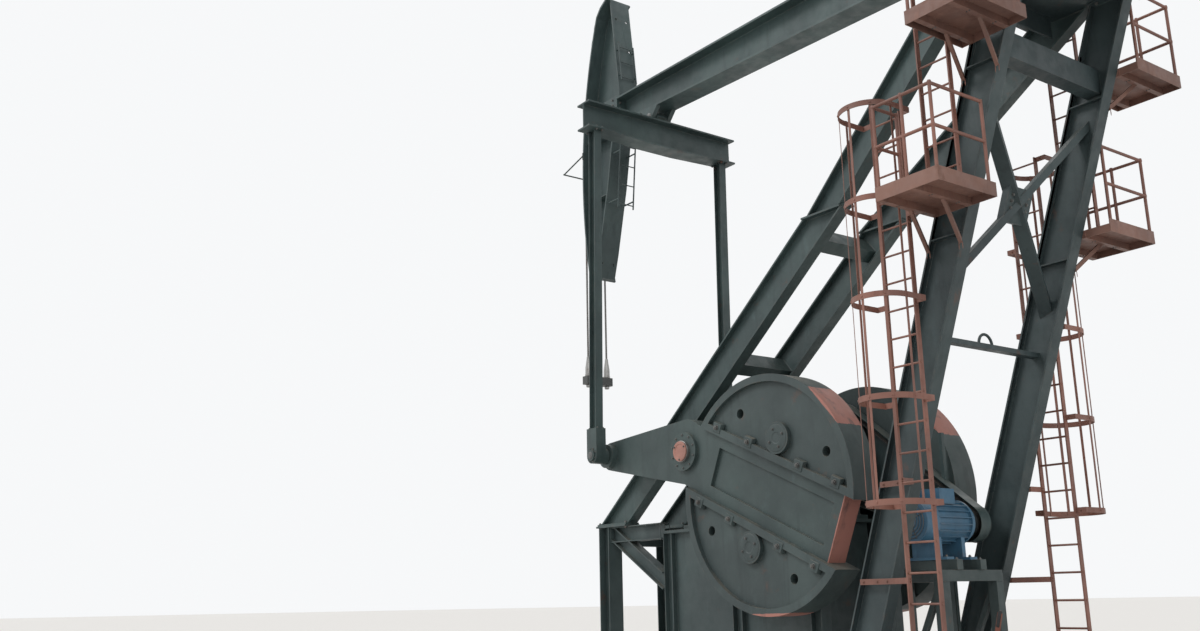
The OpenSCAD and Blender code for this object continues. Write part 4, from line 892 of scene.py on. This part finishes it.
yoke_x = pivot_x - 7.1
yoke_h = beam_low(yoke_x) - 0.13
beads = bmesh.new()
fixings = bmesh.new()
for side in (-1, 1):
    for low, level_of in ((0.03, beam_low), (-0.03, beam_high)):
        weld(beads, (beam_x1 + 0.03, side * 0.011, level_of(beam_x1) + low),
             (beam_x2, side * 0.011, level_of(beam_x2) + low), 0.007)
    for x in (pivot_x - 0.2, pivot_x + 0.2):
        for dx in (-0.009, 0.009):
            rib_x, rib_low, rib_high = x + dx, beam_low(x) + 0.03, beam_high(x) - 0.03
            weld(beads, (rib_x, side * rib_root, rib_low), (rib_x, side * rib_root, rib_high), 0.006)
            weld(beads, (rib_x, side * rib_root, rib_low), (rib_x, side * rib_edge, rib_low), 0.006)
            weld(beads, (rib_x, side * rib_root, rib_high), (rib_x, side * rib_edge, rib_high), 0.006)
    for x in (pivot_x - 0.3, pivot_x + 0.3):
        weld(beads, (x, 0, beam_low(x)), (x, side * 0.18, beam_low(x)), 0.008)
    for x in (yoke_x - 0.2, yoke_x + 0.2):
        weld(beads, (x, side * 0.12, beam_low(x)), (x, side * 0.185, beam_low(x)), 0.006)
    for x in (pivot_x - 0.26, pivot_x - 0.12, pivot_x + 0.12, pivot_x + 0.26):
        bolt(fixings, (x, side * 0.13, beam_low(x) + 0.03), (0, 0, 1), 0.026)
    for x in (yoke_x - 0.16, yoke_x + 0.16):
        for y in (0.06, 0.14):
            bolt(fixings, (x, side * y, beam_low(x) + 0.03), (0, 0, 1), 0.02)
    for z in (0.09, 0.19, 0.29, 0.39):
        bolt(fixings, (beam_x1 + 0.03, side * 0.13, beam_low(beam_x1) + z), (1, 0, 0), 0.022)
    lathe(fixings, facing((yoke_x, side * 0.1995, yoke_h), (0, side, 0)),
          ((0.046, -0.001), (0.046, 0.008), (0.04, 0.012)), 32)
piece("beam_welds", beads, beam_paint, "beam")
piece("beam_bolts", fixings, fastener_steel, "beam")

# Head: a curved face plate on a deep web with a rear flange, and a box where the beam is bolted on. Cross
# plates stiffen it, two short ladders stand behind it, and a rod frame in front keeps the ropes on its face.
head_paint = weathered("head_paint", (0.04, 0.064, 0.066), rough=0.5, rust=0.3, dust=0.25)
guard_rod_paint = weathered("guard_rod_paint", (0.05, 0.07, 0.07), rough=0.5, rust=0.5)
dress(head_paint, 0.004, "horsehead")
dress(guard_rod_paint, 0, "rope_guard")

head_r = 8.85


def on_head(a, r):
    a = radians(a)
    return Vector((pivot_x - r * cos(a), 0, pivot_h + r * sin(a)))


beads = bmesh.new()
for side in (-1, 1):
    steps = 30
    for i in range(steps):
        a1, a2 = (-10.6 + 29.0 * k / steps for k in (i, i + 1))
        one, two = on_head(a1, head_r - 0.03), on_head(a2, head_r - 0.03)
        weld(beads, one + Vector((0, side * 0.013, 0)), two + Vector((0, side * 0.013, 0)), 0.007)
    for z in (pivot_h - 1.1, pivot_h - 0.35):
        for dz in (0, 0.014):
            x_face = pivot_x - sqrt((head_r - 0.032) ** 2 - (z + dz - pivot_h) ** 2)
            weld(beads, (x_face, side * 0.014, z + dz), (x_face, side * 0.165, z + dz), 0.006)
head_bolts = bmesh.new()
for side in (-1, 1):
    for z in (0.07, 0.17, 0.27, 0.37, 0.46):
        for x in (beam_x1 - 0.08, beam_x1 - 0.72):
            bolt(head_bolts, (x, side * 0.188, beam_low(beam_x1) + z), (0, side, 0), 0.018)
piece("head_welds", beads, head_paint, "beam")
piece("head_bolts", head_bolts, fastener_steel, "beam")

# Wire ropes: two ropes of six twisted strands, clamped at the top of the head. They lie on its face, hang
# straight down from it, and end in long sockets above the carrier bar.
rope_steel = weathered("rope_steel", (0.2, 0.195, 0.19), rough=0.42, metallic=0.7, worn=0.0, rust=0.5,
                       dust=0.1, grain=160)
rope_d = 0.032
rope_y = 0.181
rope_x = pivot_x - head_r - rope_d / 2 - 0.0003
carrier_h = 5.08


def strands(bm, path, lay=0.21):
    """Six strands twisted round the path, with a thin core between them."""
    strand_r = rope_d / 6.2
    length = 0.0
    spots = []
    for i, p in enumerate(path):
        if i:
            length += (p - path[i - 1]).length
        before, after = path[max(0, i - 1)], path[min(len(path) - 1, i + 1)]
        run = (after - before).normalized()
        out = Vector((0, 1, 0))
        spots.append((p, out, run.cross(out).normalized(), length))
    for k in range(6):
        rings = []
        for p, one, two, at in spots:
            a = k * tau / 6 + at / lay * tau
            centre = p + (one * cos(a) + two * sin(a)) * (rope_d / 2 - strand_r)
            rings.append([bm.verts.new(centre + (one * cos(b) + two * sin(b)) * strand_r * 1.02)
                          for b in (j * tau / 6 + a for j in range(6))])
        for one, two in zip(rings, rings[1:]):
            for j in range(6):
                bm.faces.new((one[j], one[(j + 1) % 6], two[(j + 1) % 6], two[j]))
        bm.faces.new(rings[0][::-1])
        bm.faces.new(rings[-1])


face_ropes = bmesh.new()
hanging = bmesh.new()
sockets = bmesh.new()
clamps = bmesh.new()
for side in (-1, 1):
    out = Vector((0, side * rope_y, 0))
    arc = [on_head(18.05 - 18.05 * i / 180, head_r + 0.0003 + rope_d / 2) + out for i in range(181)]
    strands(face_ropes, arc)
    drop_to = carrier_h + 0.315
    count = 190
    strands(hanging, [Vector((rope_x, side * rope_y,
                              pivot_h - (pivot_h - drop_to) * i / count)) for i in range(count + 1)])
    socket = Matrix.Translation((rope_x, side * rope_y, carrier_h))
    lathe(sockets, socket, ((0.052, 0.0005), (0.055, 0.006), (0.055, 0.03), (0.05, 0.036), (0.048, 0.14),
                            (0.03, 0.26), (0.0255, 0.3), (0.0235, 0.32), (0.018, 0.322)), 36)
    lathe(sockets, socket, ((0.02, -0.178), (0.02, 0.002)), 20)
    lathe(sockets, socket, ((0.036, -0.1753), (0.038, -0.1713), (0.038, -0.1343), (0.036, -0.1306)), 6)
    for a in (17.7, 15.9):
        at = on_head(a, head_r) + out
        radial = (at - Vector((pivot_x, side * rope_y, pivot_h))).normalized()
        sweep = Vector((radial.z, 0, -radial.x))
        corners = [clamps.verts.new(at + radial * h + sweep * u * k + Vector((0, v * k, 0)))
                   for h, k in ((0.0, 1.0), (0.038, 0.92))
                    for u, v in ((-0.045, -0.052), (0.045, -0.052), (0.045, 0.052), (-0.045, 0.052))]
        for face in ((3, 2, 1, 0), (4, 5, 6, 7), (0, 1, 5, 4), (1, 2, 6, 5), (2, 3, 7, 6), (3, 0, 4, 7)):
            clamps.faces.new([corners[k] for k in face])
        for v in (-0.034, 0.034):
            bolt(clamps, at + radial * 0.037 + Vector((0, v, 0)), radial, 0.01)
on_face = piece("face_ropes", face_ropes, rope_steel, "beam", sharp=80)
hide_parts("head_ropes")
hung = piece("hanging_ropes", hanging, rope_steel, "carrier", sharp=80)
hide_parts("bridle")
piece("rope_sockets", sockets, shaft_steel, "carrier")
piece("rope_clamps", clamps, head_paint, "beam")

# Carrier bar: a short forged bar that both sockets hang, bored through its middle for the well's rod.
dress(machined_iron, 0.005, "carrier_bar")
liner = bmesh.new()
for z, out in ((carrier_h, 1), (carrier_h - 0.13, -1)):
    place = facing((rope_x, 0, z), (0, 0, out))
    rings = []
    for r, h in ((0.021, -0.004), (0.021, 0.004), (0.03, 0.006), (0.036, 0.002), (0.036, -0.004)):
        rings.append([liner.verts.new(place @ Vector((r * cos(k * tau / 40), r * sin(k * tau / 40),
                                                      h))) for k in range(40)])
    for one, two in zip(rings, rings[1:] + rings[:1]):
        for k in range(40):
            liner.faces.new((one[k], one[(k + 1) % 40], two[(k + 1) % 40], two[k]))
piece("carrier_bore_rims", liner, machined_iron, "carrier")

# Yoke and pitmans: a welded cross beam hung from a pin under the walking beam, a rolled beam down from each
# of its ends, and a tall bearing housing on each wrist pin.
yoke_paint = weathered("yoke_paint", (0.041, 0.066, 0.067), rough=0.5, rust=0.3)
dress(yoke_paint, 0.005, "yoke")
dress(yoke_paint, 0.003, "pitman_left", "pitman_right")
dress(cast_paint, 0.006, "wrist_bearings", merged=False)

yoke_top = yoke_h - 0.082
yoke_low = yoke_top - 0.415
pitman_y = 1.24
beads = bmesh.new()
fixings = bmesh.new()
for side in (-1, 1):
    for face in (-1, 1):
        x = yoke_x + face * 0.01
        weld(beads, (x, side * 0.02, yoke_top - 0.026), (x, side * 1.44, yoke_top - 0.026), 0.007)
        weld(beads, (x, side * 0.33, yoke_top - 0.424), (x, side * 1.15, yoke_low + 0.026), 0.007)
        weld(beads, (x, side * 1.15, yoke_low + 0.026), (x, side * 1.44, yoke_low + 0.026), 0.007)
        weld(beads, (yoke_x + face * 0.061, side * pitman_y - 0.06, yoke_low - 0.001),
             (yoke_x + face * 0.061, side * pitman_y + 0.06, yoke_low - 0.001), 0.006)
        for y in (1.19, 1.29):
            bolt(fixings, (yoke_x + face * 0.115, side * y, yoke_low + 0.026), (0, 0, 1), 0.02)
            bolt(fixings, (yoke_x + face * 0.115, side * y, yoke_low), (0, 0, -1), 0.02)
    centre = Vector((wrist.x, side * (pitman_y + 0.085), wrist.z))
    bolt_ring(fixings, centre, 0.097, 8, (0, side, 0), 0.01)
    lathe(fixings, facing(centre + Vector((0, side * 0.025, 0)), (0, side, 0)),
          ((0.055, -0.001), (0.055, 0.004), (0.046, 0.008)), 6)
    for dx in (-0.095, 0.095):
        for dy in (-0.05, 0.05):
            bolt(fixings, (wrist.x + dx, side * pitman_y + dy, wrist.z + 0.38), (0, 0, 1), 0.014)
        s = copysign(0.075, dx)
        weld(beads, (wrist.x + s, side * pitman_y - 0.06, wrist.z + 0.381),
             (wrist.x + s, side * pitman_y + 0.06, wrist.z + 0.381), 0.006)
piece("yoke_welds", beads, yoke_paint, "pitmans")
piece("yoke_bolts", fixings, fastener_steel, "pitmans")
